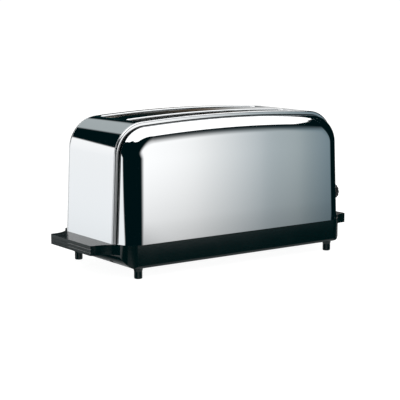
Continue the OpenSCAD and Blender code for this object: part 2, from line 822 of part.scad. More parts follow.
module rear_ribbon() {
    color("dimgray") ribbon(card_y - ribbon_t);
}

// Wire grid that keeps the bread off a heater
module guard(y) {
    step = heat_l / guard_wires;
    color(steel) {
        for (z = [guard_z0, guard_z1]) along_x(heat_x0, y, z, rail_d, heat_l);
        for (i = [0 : guard_wires - 1]) translate([heat_x0 + (i + 0.5) * step, y, guard_z0])
            cylinder(d = guard_wire_d, h = guard_z1 - guard_z0, $fn = 24);
    }
}

module front_outer_guard() { guard(-slot_y - guard_off); }
module front_inner_guard() { guard(guard_off - slot_y); }
module rear_inner_guard() { guard(slot_y - guard_off); }
module rear_outer_guard() { guard(slot_y + guard_off); }

// Carriage

// Strip under the bread with cross bars on its top edge, reaching through both bulkheads
module bread_rack(y) {
    tail = 8;
    bars = floor((slot_l - 2 * perch_d) / perch_pitch);
    x0 = slot_x - (bars - 1) * perch_pitch / 2;
    color(steel) {
        translate([heat_x0 - sheet - tail, y - rack_t / 2, rack_z - rack_h])
            cube([plate_x - heat_x0 + sheet + tail, rack_t, rack_h]);
        for (i = [0 : bars - 1]) translate([x0 + i * perch_pitch, y - perch_l / 2, rack_z])
            rotate([-90, 0, 0]) cylinder(d = perch_d, h = perch_l, $fn = 24);
    }
}

module front_bread_rack() { bread_rack(-slot_y); }
module rear_bread_rack() { bread_rack(slot_y); }

module carriage_bracket() {
    plate_w = slot_pitch + 2 * plate_margin;
    color(steel) difference() {
        union() {
            translate([plate_x, -plate_w / 2, carriage_z0]) cube([plate_t, plate_w, carriage_h]);
            translate([plate_x, -sleeve_d / 4, carriage_z0]) cube([rod_x - plate_x, sleeve_d / 2, carriage_h]);
            translate([rod_x, 0, carriage_z0]) cylinder(d = sleeve_d, h = carriage_h);
            translate([plate_x, -ear_y - ear_w / 2, carriage_z0]) cube([ear_l, ear_w, ear_t]);
            translate([plate_x, ear_y - ear_w / 2, carriage_z0 + carriage_h - ear_t])
                cube([ear_l, ear_w, ear_t]);
        }
        translate([rod_x, 0, carriage_z0 - over])
            cylinder(d = rod_d + 2 * rod_clear, h = carriage_h + 2 * over);
    }
}

module guide_rod() {
    color(steel) translate([rod_x, 0, floor_z]) cylinder(d = rod_d, h = rod_z1 + bracket_t - floor_z);
}

// Shelf on the right bulkhead that holds the top of the rod and of the spring
module rod_bracket() {
    x0 = heat_x1 + sheet;
    w = 2 * ear_y + ear_w;
    color(steel) difference() {
        union() {
            translate([x0, -w / 2, rod_z1]) cube([rod_x + ear_w / 2 - x0, w, bracket_t]);
            translate([x0, -w / 2, rod_z1 - bracket_tab_h]) cube([sheet, w, bracket_tab_h]);
        }
        translate([rod_x, 0, rod_z1 - over]) cylinder(d = rod_d + 2 * screw_clear, h = bracket_t + 2 * over);
    }
}

module carriage_spring() {
    z0 = carriage_z0 + carriage_h;
    color("gray") translate([rod_x, ear_y, z0])
        coil(r = spring_r, wire_d = spring_wire_d, l = rod_z1 - z0, turns = spring_turns);
}

module lever_arm() {
    end_x = lever_knob_x + lever_pocket;
    color(steel) difference() {
        translate([rod_x, -lever_w / 2, lever_z - lever_h / 2]) cube([end_x - rod_x, lever_w, lever_h]);
        translate([rod_x, 0, lever_z - lever_h]) cylinder(d = sleeve_d, h = 2 * lever_h);
    }
}

module lever_knob() {
    color(plastic) difference() {
        translate([lever_knob_x, 0, lever_z]) rotate([0, 90, 0]) linear_extrude(lever_knob_l)
            round_rect(lever_knob_h, lever_knob_w, lever_knob_r);
        translate([lever_knob_x - over, -lever_w / 2 - screw_clear, lever_z - lever_h / 2 - screw_clear])
            cube([lever_pocket + over, lever_w + 2 * screw_clear, lever_h + 2 * screw_clear]);
    }
}

// Latch

// Moves to the latch under the carriage's front ear
module at_latch() {
    translate([rod_x, -ear_y, 0]) children();
}

core_d = 6;
yoke_h = 4;
yoke_rim = 2;                  // how far the yoke reaches past the keeper
cheek_t = 1.5;

module keeper_plate() {
    color("gray") at_latch() translate([-keeper_w / 2, -keeper_w / 2, carriage_z0 - keeper_t])
        cube([keeper_w, keeper_w, keeper_t]);
}

module latch_core() {
    h = magnet_z1 - floor_z;
    color("gray") at_latch() translate([0, 0, floor_z]) {
        translate([-keeper_w / 2, -keeper_w / 2 - yoke_rim, 0]) cube([keeper_w, keeper_w + 2 * yoke_rim, yoke_h]);
        cylinder(d = core_d, h = h);
        for (y = [-keeper_w / 2 - yoke_rim, keeper_w / 2 + yoke_rim - cheek_t])
            translate([-keeper_w / 2, y, 0]) cube([keeper_w, cheek_t, h]);
    }
}

module latch_coil() {
    z0 = floor_z + yoke_h;
    top_gap = 2;
    side_gap = 0.5;
    color("peru") at_latch() translate([0, 0, z0]) difference() {
        cylinder(d = keeper_w - 2 * side_gap, h = magnet_z1 - z0 - top_gap);
        translate([0, 0, -over]) cylinder(d = core_d + 2 * screw_clear, h = magnet_z1);
    }
}

// Controls

// Upright board behind the panel with a slot for the lever
module control_board() {
    slot_half = lever_w / 2 + board_slot_clear;
    slot_z0 = lever_z - lever_h / 2 - carriage_travel - board_slot_clear;
    color("darkgreen") difference() {
        translate([board_x, -board_w / 2, floor_z]) cube([board_t, board_w, board_top - floor_z]);
        translate([board_x - over, -slot_half, slot_z0]) cube([board_t + 2 * over, 2 * slot_half, board_top]);
    }
}

module potentiometer() {
    x0 = board_x + board_t;
    color("gray") difference() {
        union() {
            along_x(x0, -control_y, control_z, pot_d, pot_l);
            along_x(x0, -control_y, control_z, bushing_d, pot_l + bushing_l);
        }
        along_x(x0 + pot_back, -control_y, control_z, shaft_d + 2 * rod_clear, pot_l + bushing_l);
    }
}

module control_shaft() {
    x0 = board_x + board_t + pot_back + fit;
    color(steel) along_x(x0, -control_y, control_z, shaft_d, shaft_end - x0);
}

// Round knob with a skirt, finger flutes and a pointer rib
module browning_knob() {
    skirt_l = 4;
    skirt_rim = 2;
    pointer_w = 2;
    pointer_h = 1;
    flutes = 12;
    flute_d = 2.4;
    grip_r = knob_d / 2 - skirt_rim;
    color(plastic) translate([knob_x, -control_y, control_z]) rotate([0, 90, 0]) difference() {
        union() {
            cylinder(d = knob_d, h = skirt_l);
            cylinder(r = grip_r, h = knob_l);
            translate([pointer_h - knob_d / 2, -pointer_w / 2, skirt_l])
                cube([knob_d / 2 - pointer_h, pointer_w, pointer_h]);
        }
        for (i = [0 : flutes - 1]) rotate(360 / flutes * (i + 0.5)) translate([grip_r + flute_d / 6, 0, skirt_l])
            cylinder(d = flute_d, h = knob_l, $fn = 24);
        translate([0, 0, -over]) cylinder(d = shaft_d + 2 * knob_clear, h = knob_l - knob_cap + over);
    }
}

module cancel_switch() {
    color("gray") translate([board_x + board_t, control_y - switch_w / 2, control_z - switch_w / 2])
        cube([switch_l, switch_w, switch_w]);
}

module cancel_button() {
    color(plastic) {
        along_x(stem_x, control_y, control_z, stem_d, cap_end - stem_x);
        along_x(cap_x, control_y, control_z, cap_flange_d, cap_flange_t);
        along_x(cap_x, control_y, control_z, button_d, cap_end - cap_x);
    }
}

module button_spring() {
    wire_d = 0.8;
    turns = 5;
    x0 = board_x + board_t + switch_l;
    color("gray") translate([x0, control_y, control_z]) rotate([0, 90, 0])
        coil(r = stem_d / 2 + spring_gap + wire_d / 2, wire_d = wire_d, l = cap_x - x0, turns = turns);
}

// Mains inlet, with its bore open for a lead
module cord_inlet_grommet() {
    y0 = base_w / 2 - base_wall - inlet_lip_t;
    color(plastic) translate([inlet_x, 0, inlet_z]) rotate([-90, 0, 0]) difference() {
        union() {
            translate([0, 0, y0]) cylinder(d = inlet_seat_d - 2 * screw_clear, h = base_wall + 2 * inlet_lip_t);
            for (y = [y0, base_w / 2]) translate([0, 0, y])
                cylinder(d = inlet_seat_d + 2 * inlet_lip, h = inlet_lip_t);
        }
        cylinder(d = inlet_bore_d, h = base_w);
    }
}

module terminal_block() {
    color("white") translate([plate_x, terminal_y, floor_z]) difference() {
        cube([terminal_w, terminal_w, terminal_h]);
        for (x = [1, 3]) translate([x * terminal_w / 4, terminal_w / 2, terminal_h / 3])
            cylinder(d = terminal_hole_d, h = terminal_h);
    }
}

front_side_panel();
rear_side_panel();
wrap_band();
control_panel();
base();
front_left_foot();
front_right_foot();
rear_left_foot();
rear_right_foot();
crumb_tray();
left_bulkhead();
right_bulkhead();
front_reflector();
rear_reflector();
front_heater_card();
centre_heater_card();
rear_heater_card();
front_ribbon();
centre_front_ribbon();
centre_rear_ribbon();
rear_ribbon();
front_outer_guard();
front_inner_guard();
rear_inner_guard();
rear_outer_guard();
front_bread_rack();
rear_bread_rack();
carriage_bracket();
guide_rod();
rod_bracket();
carriage_spring();
lever_arm();
lever_knob();
keeper_plate();
latch_core();
latch_coil();
control_board();
potentiometer();
control_shaft();
browning_knob();
cancel_switch();
cancel_button();
button_spring();
cord_inlet_grommet();
terminal_block();
shell_screws();
bulkhead_screws();
panel_screws();
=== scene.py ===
# %% [markdown]
# A long-slot toaster, dressed in Blender.
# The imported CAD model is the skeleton: every piece has its real size and place there, in metres.
# This lesson gives each surface its finish and rebuilds the polished shell, where facets would show.

# %% Load the frame
import json
import math

import bpy
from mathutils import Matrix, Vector


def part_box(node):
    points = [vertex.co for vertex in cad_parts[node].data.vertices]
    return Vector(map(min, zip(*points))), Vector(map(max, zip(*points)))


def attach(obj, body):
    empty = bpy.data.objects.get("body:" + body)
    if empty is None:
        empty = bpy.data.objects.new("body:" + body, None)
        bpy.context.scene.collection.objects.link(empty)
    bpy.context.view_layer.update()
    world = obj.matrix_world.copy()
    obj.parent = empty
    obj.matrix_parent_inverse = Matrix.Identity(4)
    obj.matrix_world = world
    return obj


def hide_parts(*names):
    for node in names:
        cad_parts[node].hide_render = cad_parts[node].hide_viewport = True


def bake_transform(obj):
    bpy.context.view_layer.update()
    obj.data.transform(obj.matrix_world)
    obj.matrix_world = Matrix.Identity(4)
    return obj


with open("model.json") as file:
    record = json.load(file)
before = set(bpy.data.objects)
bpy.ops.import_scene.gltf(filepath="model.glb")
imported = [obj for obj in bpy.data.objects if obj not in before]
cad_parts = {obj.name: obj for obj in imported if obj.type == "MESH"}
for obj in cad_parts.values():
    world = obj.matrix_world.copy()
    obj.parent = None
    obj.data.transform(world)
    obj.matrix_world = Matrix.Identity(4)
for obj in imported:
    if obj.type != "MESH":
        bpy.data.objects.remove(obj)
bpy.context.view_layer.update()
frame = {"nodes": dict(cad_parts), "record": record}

MM = 0.001
nodes = frame["nodes"]

# %% [markdown]
# The camera comes first, because every later choice is judged through it.
# A long lens stands low in front of the left end, as in a catalogue picture: the end wall and the
# front show together, and upright edges stay upright. A wider lens closer in would splay them.

# %% Camera
# The heading is in degrees from the X axis, the pitch in degrees from level.
EYE = (-1.0376, -1.4315, 0.3590)
HEADING = 54.29
PITCH = -8.963
LENS = 111.6

camera = bpy.data.objects.new("camera", bpy.data.cameras.new("camera"))
camera.data.lens = LENS
camera.location = EYE
camera.rotation_euler = (math.radians(90 + PITCH), 0, math.radians(HEADING - 90))
bpy.context.scene.collection.objects.link(camera)
bpy.context.scene.camera = camera
print("camera:", LENS, "mm lens at", EYE)

# %% [markdown]
# A polished shell shows the room more than itself, so the studio is part of the finish.
# A panorama picture could surround it, but its bright parts couldn't be moved one by one. So the room
# is dark for reflections, and white cards stand where the steel looks. Everything else, the floor
# included, sits in even white light, so the floor stays pale and the shadows stay faint.

# %% Studio light
WHITE_LIGHT = 1.05
DARK_ROOM = "#011417"

bpy.context.scene.view_settings.view_transform = "Standard"


def linear(code):
    """Linear colour of an sRGB hex value."""
    parts = [int(code[i:i + 2], 16) / 255 for i in (1, 3, 5)]
    return tuple(c / 12.92 if c <= 0.04045 else ((c + 0.055) / 1.055) ** 2.4 for c in parts) + (1.0,)


def fill(tree, node, inputs):
    """Fills a node's inputs, each with a value or with a link from a socket."""
    for name, value in dict(inputs).items():
        if isinstance(value, bpy.types.NodeSocket):
            tree.links.new(value, node.inputs[name])
        else:
            node.inputs[name].default_value = value


def add(tree, kind, inputs=(), **settings):
    """Adds a node with its settings and fills its inputs."""
    node = tree.nodes.new(kind)
    for name, value in settings.items():
        setattr(node, name, value)
    fill(tree, node, inputs)
    return node


world = bpy.data.worlds.new("studio")
world.use_nodes = True
world.node_tree.nodes.clear()
bpy.context.scene.world = world
path = add(world.node_tree, "ShaderNodeLightPath")
even = add(world.node_tree, "ShaderNodeBackground", {"Color": linear("#FFFFFF"), "Strength": WHITE_LIGHT})
dark = add(world.node_tree, "ShaderNodeBackground", {"Color": linear(DARK_ROOM)})
room = add(world.node_tree, "ShaderNodeMixShader", {
    0: path.outputs["Is Glossy Ray"], 1: even.outputs[0], 2: dark.outputs[0]})
add(world.node_tree, "ShaderNodeOutputWorld", {"Surface": room.outputs[0]})
print("studio: even light of", WHITE_LIGHT, "and a dark room of", DARK_ROOM)

# %% [markdown]
# A card is a flat sheet that glows. Its light fades out towards an edge, as on a real soft box, and can
# change colour on the way. A plain area lamp would serve the steel too, but it has no gradient and would
# also light the floor. Here fades and colours are layers over the card, and the layers multiply.


# %% Light of a card
def card_light(tree, edges, shades):
    """Colour of a card's light.

    An edge is (direction, dark place, bright place), and the light fades between the two places.
    A shade is (direction, stops), and each stop is a place and a colour.
    """
    place = add(tree, "ShaderNodeTexCoord").outputs["Object"]
    layers = []
    for way, dark, bright in edges:
        along = add(tree, "ShaderNodeVectorMath", {0: place, 1: way}, operation="DOT_PRODUCT")
        fade = add(tree, "ShaderNodeMapRange",
                   {"Value": along.outputs["Value"], "From Min": dark, "From Max": bright},
                   interpolation_type="SMOOTHSTEP")
        layers.append(fade.outputs[0])
    for way, stops in shades:
        first, last = stops[0][0], stops[-1][0]
        along = add(tree, "ShaderNodeVectorMath", {0: place, 1: way}, operation="DOT_PRODUCT")
        share = add(tree, "ShaderNodeMapRange",
                    {"Value": along.outputs["Value"], "From Min": first, "From Max": last})
        ramp = add(tree, "ShaderNodeValToRGB", {0: share.outputs[0]})
        ramp.color_ramp.interpolation = "CARDINAL"
        while len(ramp.color_ramp.elements) < len(stops):
            ramp.color_ramp.elements.new(0.5)
        for element, (spot, colour) in zip(ramp.color_ramp.elements, stops):
            element.position = (spot - first) / (last - first)
            element.color = linear(colour)
        layers.append(ramp.outputs["Color"])
    light = layers[0]
    for layer in layers[1:]:
        product = add(tree, "ShaderNodeVectorMath", {0: light, 1: layer}, operation="MULTIPLY")
        light = product.outputs["Vector"]
    return light


# %% [markdown]
# The camera, the floor and the shadows don't see a card, and only reflections do. Where its light has
# faded out it must look like the room behind it, so the room's dark tone is added to its glow.


# %% A card
def card(name, corners, level, edges, shades=()):
    """A sheet that glows with a strength, seen only in reflections."""
    mesh = bpy.data.meshes.new(name)
    mesh.from_pydata(corners, [], [tuple(range(len(corners)))])
    material = bpy.data.materials.new(name)
    material.use_nodes = True
    material.cycles.emission_sampling = "NONE"
    tree = material.node_tree
    tree.nodes.clear()
    glow = add(tree, "ShaderNodeEmission", {"Color": card_light(tree, edges, shades), "Strength": level})
    tone = add(tree, "ShaderNodeEmission", {"Color": linear(DARK_ROOM)})
    both = add(tree, "ShaderNodeAddShader", {0: glow.outputs[0], 1: tone.outputs[0]})
    add(tree, "ShaderNodeOutputMaterial", {"Surface": both.outputs[0]})
    mesh.materials.append(material)
    sheet = bpy.data.objects.new(name, mesh)
    bpy.context.scene.collection.objects.link(sheet)
    sheet.visible_camera = False
    sheet.visible_diffuse = False
    sheet.visible_shadow = False
    sheet.visible_transmission = False
    print("card:", name, "of strength", level)


# %% [markdown]
# The front card gives the front panel its slow gradient: brightest at the left, blue-grey at the right
# and dark upwards. Its left edge leans, which narrows the dark band on the shell towards the top. A
# plain white card would do for a matt shell, but polished steel repeats whatever it faces. Outlines and
# places are in metres.

# %% Card in front
ALONG_X = (1, 0, 0)
ALONG_Y = (0, 1, 0)
ALONG_Z = (0, 0, 1)
FRONT_Y = -0.60
FRONT_LIGHT = 1.29
FRONT_OUTLINE = ((-1.2, -0.09), (0.86, -0.09), (0.86, 0.95), (-1.2, 0.95))
FRONT_EDGES = (((1, 0, 1.2), -0.08, 0.16), (ALONG_X, 0.83, 0.76), (ALONG_Z, -0.080, -0.0755),
               ((1, 0, -0.9), -0.60, -0.33))
FRONT_ACROSS = ((0.17, "#FFFFFF"), (0.30, "#E9EAEA"), (0.44, "#B2B9BC"), (0.54, "#96A0A3"),
                (0.61, "#74838A"), (0.80, "#6A7A80"))
FRONT_UP = ((-0.08, "#C8C8C8"), (-0.03, "#E3E3E3"), (0.08, "#FFFFFF"), (0.27, "#FFFFFF"),
            (0.36, "#DFDFDF"), (0.45, "#BCBCBC"), (0.55, "#898989"), (0.68, "#585858"),
            (0.80, "#303030"), (0.92, "#000000"))

card("front_card", [(x, FRONT_Y, z) for x, z in FRONT_OUTLINE], FRONT_LIGHT, FRONT_EDGES,
     ((ALONG_X, FRONT_ACROSS), (ALONG_Z, FRONT_UP)))

# %% [markdown]
# The end card lights the end wall. A rectangle would light all of it. The lit field on the real wall
# narrows towards the front, high up and at the foot, so the card's front edge fades to a point. Its lowest
# strip is grey, like a table's edge.

# %% Card at the end
END_X = -0.60
END_LIGHT = 1.2
END_OUTLINE = ((1.4, -0.2), (-0.4, -0.2), (-0.4, 0.5), (1.4, 0.5))
END_EDGES = (((0, 1, -2.2), -0.145, -0.065), (ALONG_Z, 0.490, 0.482), (ALONG_Z, -0.135, -0.128),
             ((0, 1, 3), -0.16, -0.10))
END_UP = ((-0.135, "#A6A8A8"), (-0.10, "#A6A8A8"), (-0.075, "#E6E9EB"), (0.12, "#F6F7F8"), (0.45, "#FFFFFF"))

card("end_card", [(END_X, y, z) for y, z in END_OUTLINE], END_LIGHT, END_EDGES, ((ALONG_Z, END_UP),))

# %% [markdown]
# Overhead hangs a wide white card for the shoulders. Its front left corner is cut off, which puts the
# notch into the dark band at the shell's corner. A dimmer card behind it draws the grey strip across
# the arch. Both could be one card with a step in it, but two can be moved by themselves.

# %% Cards overhead
TOP_Z = 0.75
TOP_LIGHT = 1.6
TOP_OUTLINE = ((-0.42, -0.46), (0.70, -0.46), (0.665, -0.10), (0.76, 0.40), (0.80, 0.72), (-0.70, 0.72),
               (-0.70, 0.10), (-0.57, -0.10), (-0.57, -0.30))
TOP_EDGES = ((ALONG_Y, -0.455, -0.43), (ALONG_Y, 0.72, 0.64))
GREY_LIGHT = 0.52
GREY_TONE = "#EEF8FA"
GREY_OUTLINE = ((-0.40, 0.74), (0.60, 0.74), (0.60, 1.3), (-0.40, 1.3))
GREY_EDGES = ((ALONG_X, -0.37, -0.29), (ALONG_Y, 1.28, 1.12), (ALONG_X, 0.55, 0.2))
GREY_ACROSS = ((-0.4, GREY_TONE), (0.6, GREY_TONE))

card("top_card", [(x, y, TOP_Z) for x, y in TOP_OUTLINE], TOP_LIGHT, TOP_EDGES)
card("grey_card", [(x, y, TOP_Z) for x, y in GREY_OUTLINE], GREY_LIGHT, GREY_EDGES, ((ALONG_X, GREY_ACROSS),))

# %% [markdown]
# Behind stand two cards side by side, for the far table and what is above its horizon. The right one
# goes from white through brown to dark. The left one is white only low down and has a dim wall above.
# A picture of a room could stand there, but the steel repeats no more than these few tones.

# %% Cards behind
BACK_Y = 1.20
BACK_LIGHT = 0.6
BACK_OUTLINE = ((0.54, -0.4), (2.2, -0.4), (2.2, 0.46), (0.54, 0.46))
BACK_EDGES = ((ALONG_X, 0.54, 0.60),)
BACK_UP = ((-0.40, "#FFFFFF"), (0.25, "#FFFFFF"), (0.29, "#D0D0CE"), (0.33, "#807266"), (0.40, "#332C26"),
           (0.45, "#000000"))
LOW_LIGHT = 1.2
LOW_OUTLINE = ((-0.75, -0.4), (0.54, -0.4), (0.54, 0.6), (-0.75, 0.6))
LOW_EDGES = ((ALONG_Z, 0.6, 0.5),)
LOW_UP = ((-0.40, "#FFFFFF"), (0.09, "#FFFFFF"), (0.13, "#2B3A3B"), (0.60, "#2B3A3B"))

card("back_card", [(x, BACK_Y, z) for x, z in BACK_OUTLINE], BACK_LIGHT, BACK_EDGES, ((ALONG_Z, BACK_UP),))
card("low_card", [(x, BACK_Y, z) for x, z in LOW_OUTLINE], LOW_LIGHT, LOW_EDGES, ((ALONG_Z, LOW_UP),))

# %% [markdown]
# The steel doesn't mirror the floor, so two cards below it stand for the table when the toaster is seen
# from its other sides. They leave out what the front and the left end mirror towards this camera. They
# must not overlap, because two sheets in one plane would fight for each ray.

# %% Cards below
BELOW_Z = -0.2
BELOW_LIGHT = 0.5
TO_REAR_LEFT = (-1, 1, 0)
FLOOR_OUTLINE = ((-2.2, -2.2), (2.2, -2.2), (2.2, 2.2), (1.58, 2.2), (-2.2, -1.58))
FLOOR_EDGES = ((TO_REAR_LEFT, 0.6, 0.3), ((0.5, -1, 0), 1.0, 0.8), ((1, 1, 0), 1.8, 1.5),
               ((-1, -1, 0), 2.0, 1.6))
REAR_OUTLINE = ((-1.0, -0.25), (0.4, 1.15), (-0.05, 1.6), (-1.45, 0.2))
REAR_EDGES = ((TO_REAR_LEFT, 0.75, 0.95), (TO_REAR_LEFT, 1.65, 1.45))

card("floor_card", [(x, y, BELOW_Z) for x, y in FLOOR_OUTLINE], BELOW_LIGHT, FLOOR_EDGES)
card("rear_card", [(x, y, BELOW_Z) for x, y in REAR_OUTLINE], BELOW_LIGHT, REAR_EDGES)

# %% [markdown]
# The floor is a plain pale table top. It glows faintly, like a light table, which keeps the shadow
# under the base soft. A shadow catcher would need a picture behind it, and this needs none. The steel
# doesn't mirror it, so that the cards alone draw the reflections.

# %% Floor
FLOOR_HALF = 3.0
FLOOR_GLOW = 0.93

mesh = bpy.data.meshes.new("floor")
mesh.from_pydata([(-FLOOR_HALF, -FLOOR_HALF, 0), (FLOOR_HALF, -FLOOR_HALF, 0),
                  (FLOOR_HALF, FLOOR_HALF, 0), (-FLOOR_HALF, FLOOR_HALF, 0)], [], [(0, 1, 2, 3)])
floor = bpy.data.objects.new("floor", mesh)
bpy.context.scene.collection.objects.link(floor)
floor_paint = bpy.data.materials.new("pale_table_top")
floor_paint.use_nodes = True
shader = floor_paint.node_tree.nodes["Principled BSDF"]
fill(floor_paint.node_tree, shader, {
    "Base Color": linear("#8A8A89"), "Roughness": 0.8,
    "Emission Color": linear("#FFFFFF"), "Emission Strength": FLOOR_GLOW})
mesh.materials.append(floor_paint)
floor.visible_glossy = False
print("floor:", 2 * FLOOR_HALF, "m square")

# %% [markdown]
# Finishes. Each one starts from what the real material is and how its surface was made.
# Photographs of surfaces could carry them, but they would need unwrapped meshes and blur close up.
# Here each pattern is worked out from coordinates in metres, so its scale is one over its real size.

# %% A new finish
FINISHES = {}


def finish(name, colour, roughness, metallic=0.0):
    """A material with one colour and gloss to start from, and coordinates in metres for its patterns."""
    material = bpy.data.materials.new(name)
    material.use_nodes = True
    tree = material.node_tree
    shader = tree.nodes["Principled BSDF"]
    fill(tree, shader, {"Base Color": linear(colour), "Roughness": roughness, "Metallic": metallic})
    place = add(tree, "ShaderNodeTexCoord").outputs["Object"]
    print("finish:", name)
    return material, tree, shader, place


# %% [markdown]
# The shell is stainless steel sheet, buffed to a mirror. The wheel leaves hair lines too fine to see one
# by one, here drawn 0.4 mm wide so that they show, and the gloss wanders a little where it was wiped.
# A bump would bend the reflections, so the lines only change the gloss.

# %% Mirror-polished steel
STEEL = "#E3E4E5"
HAIR_LENGTH = 50

material, tree, shader, place = finish("mirror_polished_stainless_steel", STEEL, roughness=0.05, metallic=1.0)
wiped = add(tree, "ShaderNodeTexNoise", {"Vector": place, "Scale": 1 / (60 * MM), "Detail": 3.0})
drawn = add(tree, "ShaderNodeMapping", {"Vector": place, "Scale": (1 / HAIR_LENGTH, 1.0, 1.0)})
hairs = add(tree, "ShaderNodeTexNoise", {"Vector": drawn.outputs[0], "Scale": 1 / (0.4 * MM), "Detail": 2.0})
both = add(tree, "ShaderNodeMath", {0: wiped.outputs[0], 1: hairs.outputs[0]}, operation="MULTIPLY")
gloss = add(tree, "ShaderNodeMapRange", {"Value": both.outputs[0], "To Min": 0.025, "To Max": 0.085})
fill(tree, shader, {"Roughness": gloss.outputs[0]})
FINISHES["polished_steel"] = material

# %% [markdown]
# The lips at the seams are dark grey: painted shade for the shadow in the gap between the pieces, with
# a gloss that varies on a scale about 2 mm across. Beside the rolled edge runs a narrow satin line from
# the first pass. Both are the same sheet, so one function makes them with a different colour and gloss.


# %% Steel at the seams
def satin_and_seam_shade_steel(name, colour, rougher, smoother):
    """Bare stainless steel whose gloss varies with a fine scale."""
    material, tree, shader, place = finish(name, colour, roughness=rougher, metallic=1.0)
    scale = add(tree, "ShaderNodeTexNoise", {"Vector": place, "Scale": 1 / (2 * MM), "Detail": 3.0})
    gloss = add(tree, "ShaderNodeMapRange", {
        "Value": scale.outputs[0], "To Min": smoother, "To Max": rougher})
    fill(tree, shader, {"Roughness": gloss.outputs[0]})
    return material


# The seams' dark grey colour is painted shade: the gap between the pieces lies in shadow.
SEAM_SHADE_STEEL = satin_and_seam_shade_steel("seam_shade_dark_steel", "#34383A", 0.55, 0.4)
SATIN_STEEL = satin_and_seam_shade_steel("satin_stainless_steel", STEEL, 0.5, 0.4)

# %% [markdown]
# The rolled edge of the band is buffed only where the wheel gets at it: satin up the end walls, a mirror
# over the top. Two materials would meet in a hard line, so the gloss follows the height instead.

# %% Part-buffed edge
BUFF_FROM = 145 * MM
BUFF_TO = 195 * MM

ROLLED_STEEL, tree, shader, place = finish("part_buffed_stainless_steel", STEEL, roughness=0.3, metallic=1.0)
height = add(tree, "ShaderNodeSeparateXYZ", {0: place}).outputs["Z"]
buffed = add(tree, "ShaderNodeMapRange", {
    "Value": height, "From Min": BUFF_FROM, "From Max": BUFF_TO, "To Min": 0.5, "To Max": 0.08})
fill(tree, shader, {"Roughness": buffed.outputs[0]})

# %% [markdown]
# The base and the feet are a black thermoset moulding, as on appliance handles. It leaves the mould
# glossy, with a faint orange peel about 3 mm across and a gloss that dulls in patches. Faces that look
# up, the ledges above all, have a grip grain and are duller. A second material would need the mesh cut
# up, so the upward share of the normal is the mask.

# %% Glossy black moulding
GRIP_ROUGHNESS = 0.24
GRIP_FROM = 0.9
GRIP_FULL = 0.98

material, tree, shader, place = finish("glossy_black_thermoset", "#001011", roughness=0.2)
peel = add(tree, "ShaderNodeTexNoise", {"Vector": place, "Scale": 1 / (3 * MM), "Detail": 1.0})
dull = add(tree, "ShaderNodeTexNoise", {"Vector": place, "Scale": 1 / (35 * MM), "Detail": 4.0})
gloss = add(tree, "ShaderNodeMapRange", {"Value": dull.outputs[0], "To Min": 0.08, "To Max": 0.17})
facing = add(tree, "ShaderNodeNewGeometry").outputs["Normal"]
upward = add(tree, "ShaderNodeSeparateXYZ", {0: facing}).outputs["Z"]
grip = add(tree, "ShaderNodeMapRange", {"Value": upward, "From Min": GRIP_FROM, "From Max": GRIP_FULL})
grained = add(tree, "ShaderNodeMix", {0: grip.outputs[0], 2: gloss.outputs[0], 3: GRIP_ROUGHNESS})
bump = add(tree, "ShaderNodeBump", {"Height": peel.outputs[0], "Distance": 0.02 * MM})
fill(tree, shader, {"Roughness": grained.outputs[0], "Normal": bump.outputs[0]})
FINISHES["black_plastic"] = material

# %% [markdown]
# The controls are ABS from a spark-eroded mould: near black, with a fine pebble grain that breaks the
# highlights. The grain is about 0.3 mm on the real part, and drawn at 0.6 mm so that it shows. Modelled
# pebbles would take millions of faces, so rounded cells drive a bump.

# %% Textured black ABS
material, tree, shader, place = finish("pebbled_black_abs", "#131516", roughness=0.45)
pebble = add(tree, "ShaderNodeTexVoronoi", {"Vector": place, "Scale": 1 / (0.6 * MM)})
rub = add(tree, "ShaderNodeTexNoise", {"Vector": place, "Scale": 1 / (18 * MM), "Detail": 3.0})
tint = add(tree, "ShaderNodeMix", {0: rub.outputs[0], 6: linear("#0E1011"), 7: linear("#1A1C1D")},
           data_type="RGBA")
gloss = add(tree, "ShaderNodeMapRange", {"Value": rub.outputs[0], "To Min": 0.36, "To Max": 0.52})
bump = add(tree, "ShaderNodeBump", {"Height": pebble.outputs["Distance"], "Distance": 0.03 * MM})
fill(tree, shader, {"Base Color": tint.outputs[2], "Roughness": gloss.outputs[0], "Normal": bump.outputs[0]})
FINISHES["control_plastic"] = material

# %% [markdown]
# Inner brackets and the tray are steel sheet dipped in hot zinc. The zinc freezes in flat crystals, the
# spangle, each a few millimetres wide with its own shade and gloss. Noise would be too soft for that, so
# the flat cells of a Voronoi pattern give each crystal its own value.

# %% Galvanised sheet
material, tree, shader, place = finish("spangled_zinc_sheet", "#B4B8BB", roughness=0.34, metallic=1.0)
crystal = add(tree, "ShaderNodeTexVoronoi", {"Vector": place, "Scale": 1 / (5 * MM)})
shade = add(tree, "ShaderNodeSeparateColor", {0: crystal.outputs["Color"]})
tint = add(tree, "ShaderNodeMix", {0: shade.outputs[0], 6: linear("#A4A9AD"), 7: linear("#C6CACD")},
           data_type="RGBA")
gloss = add(tree, "ShaderNodeMapRange", {"Value": shade.outputs[1], "To Min": 0.26, "To Max": 0.42})
fill(tree, shader, {"Base Color": tint.outputs[2], "Roughness": gloss.outputs[0]})
FINISHES["sheet_steel"] = material

# %% [markdown]
# Guards, racks and rods are drawn steel. Drawing leaves fine marks on the wire, and the bright nickel
# finish yellows a little where the heat reaches it. The wires run all ways, so even noise stands for the
# marks, and a slow one for the heat.

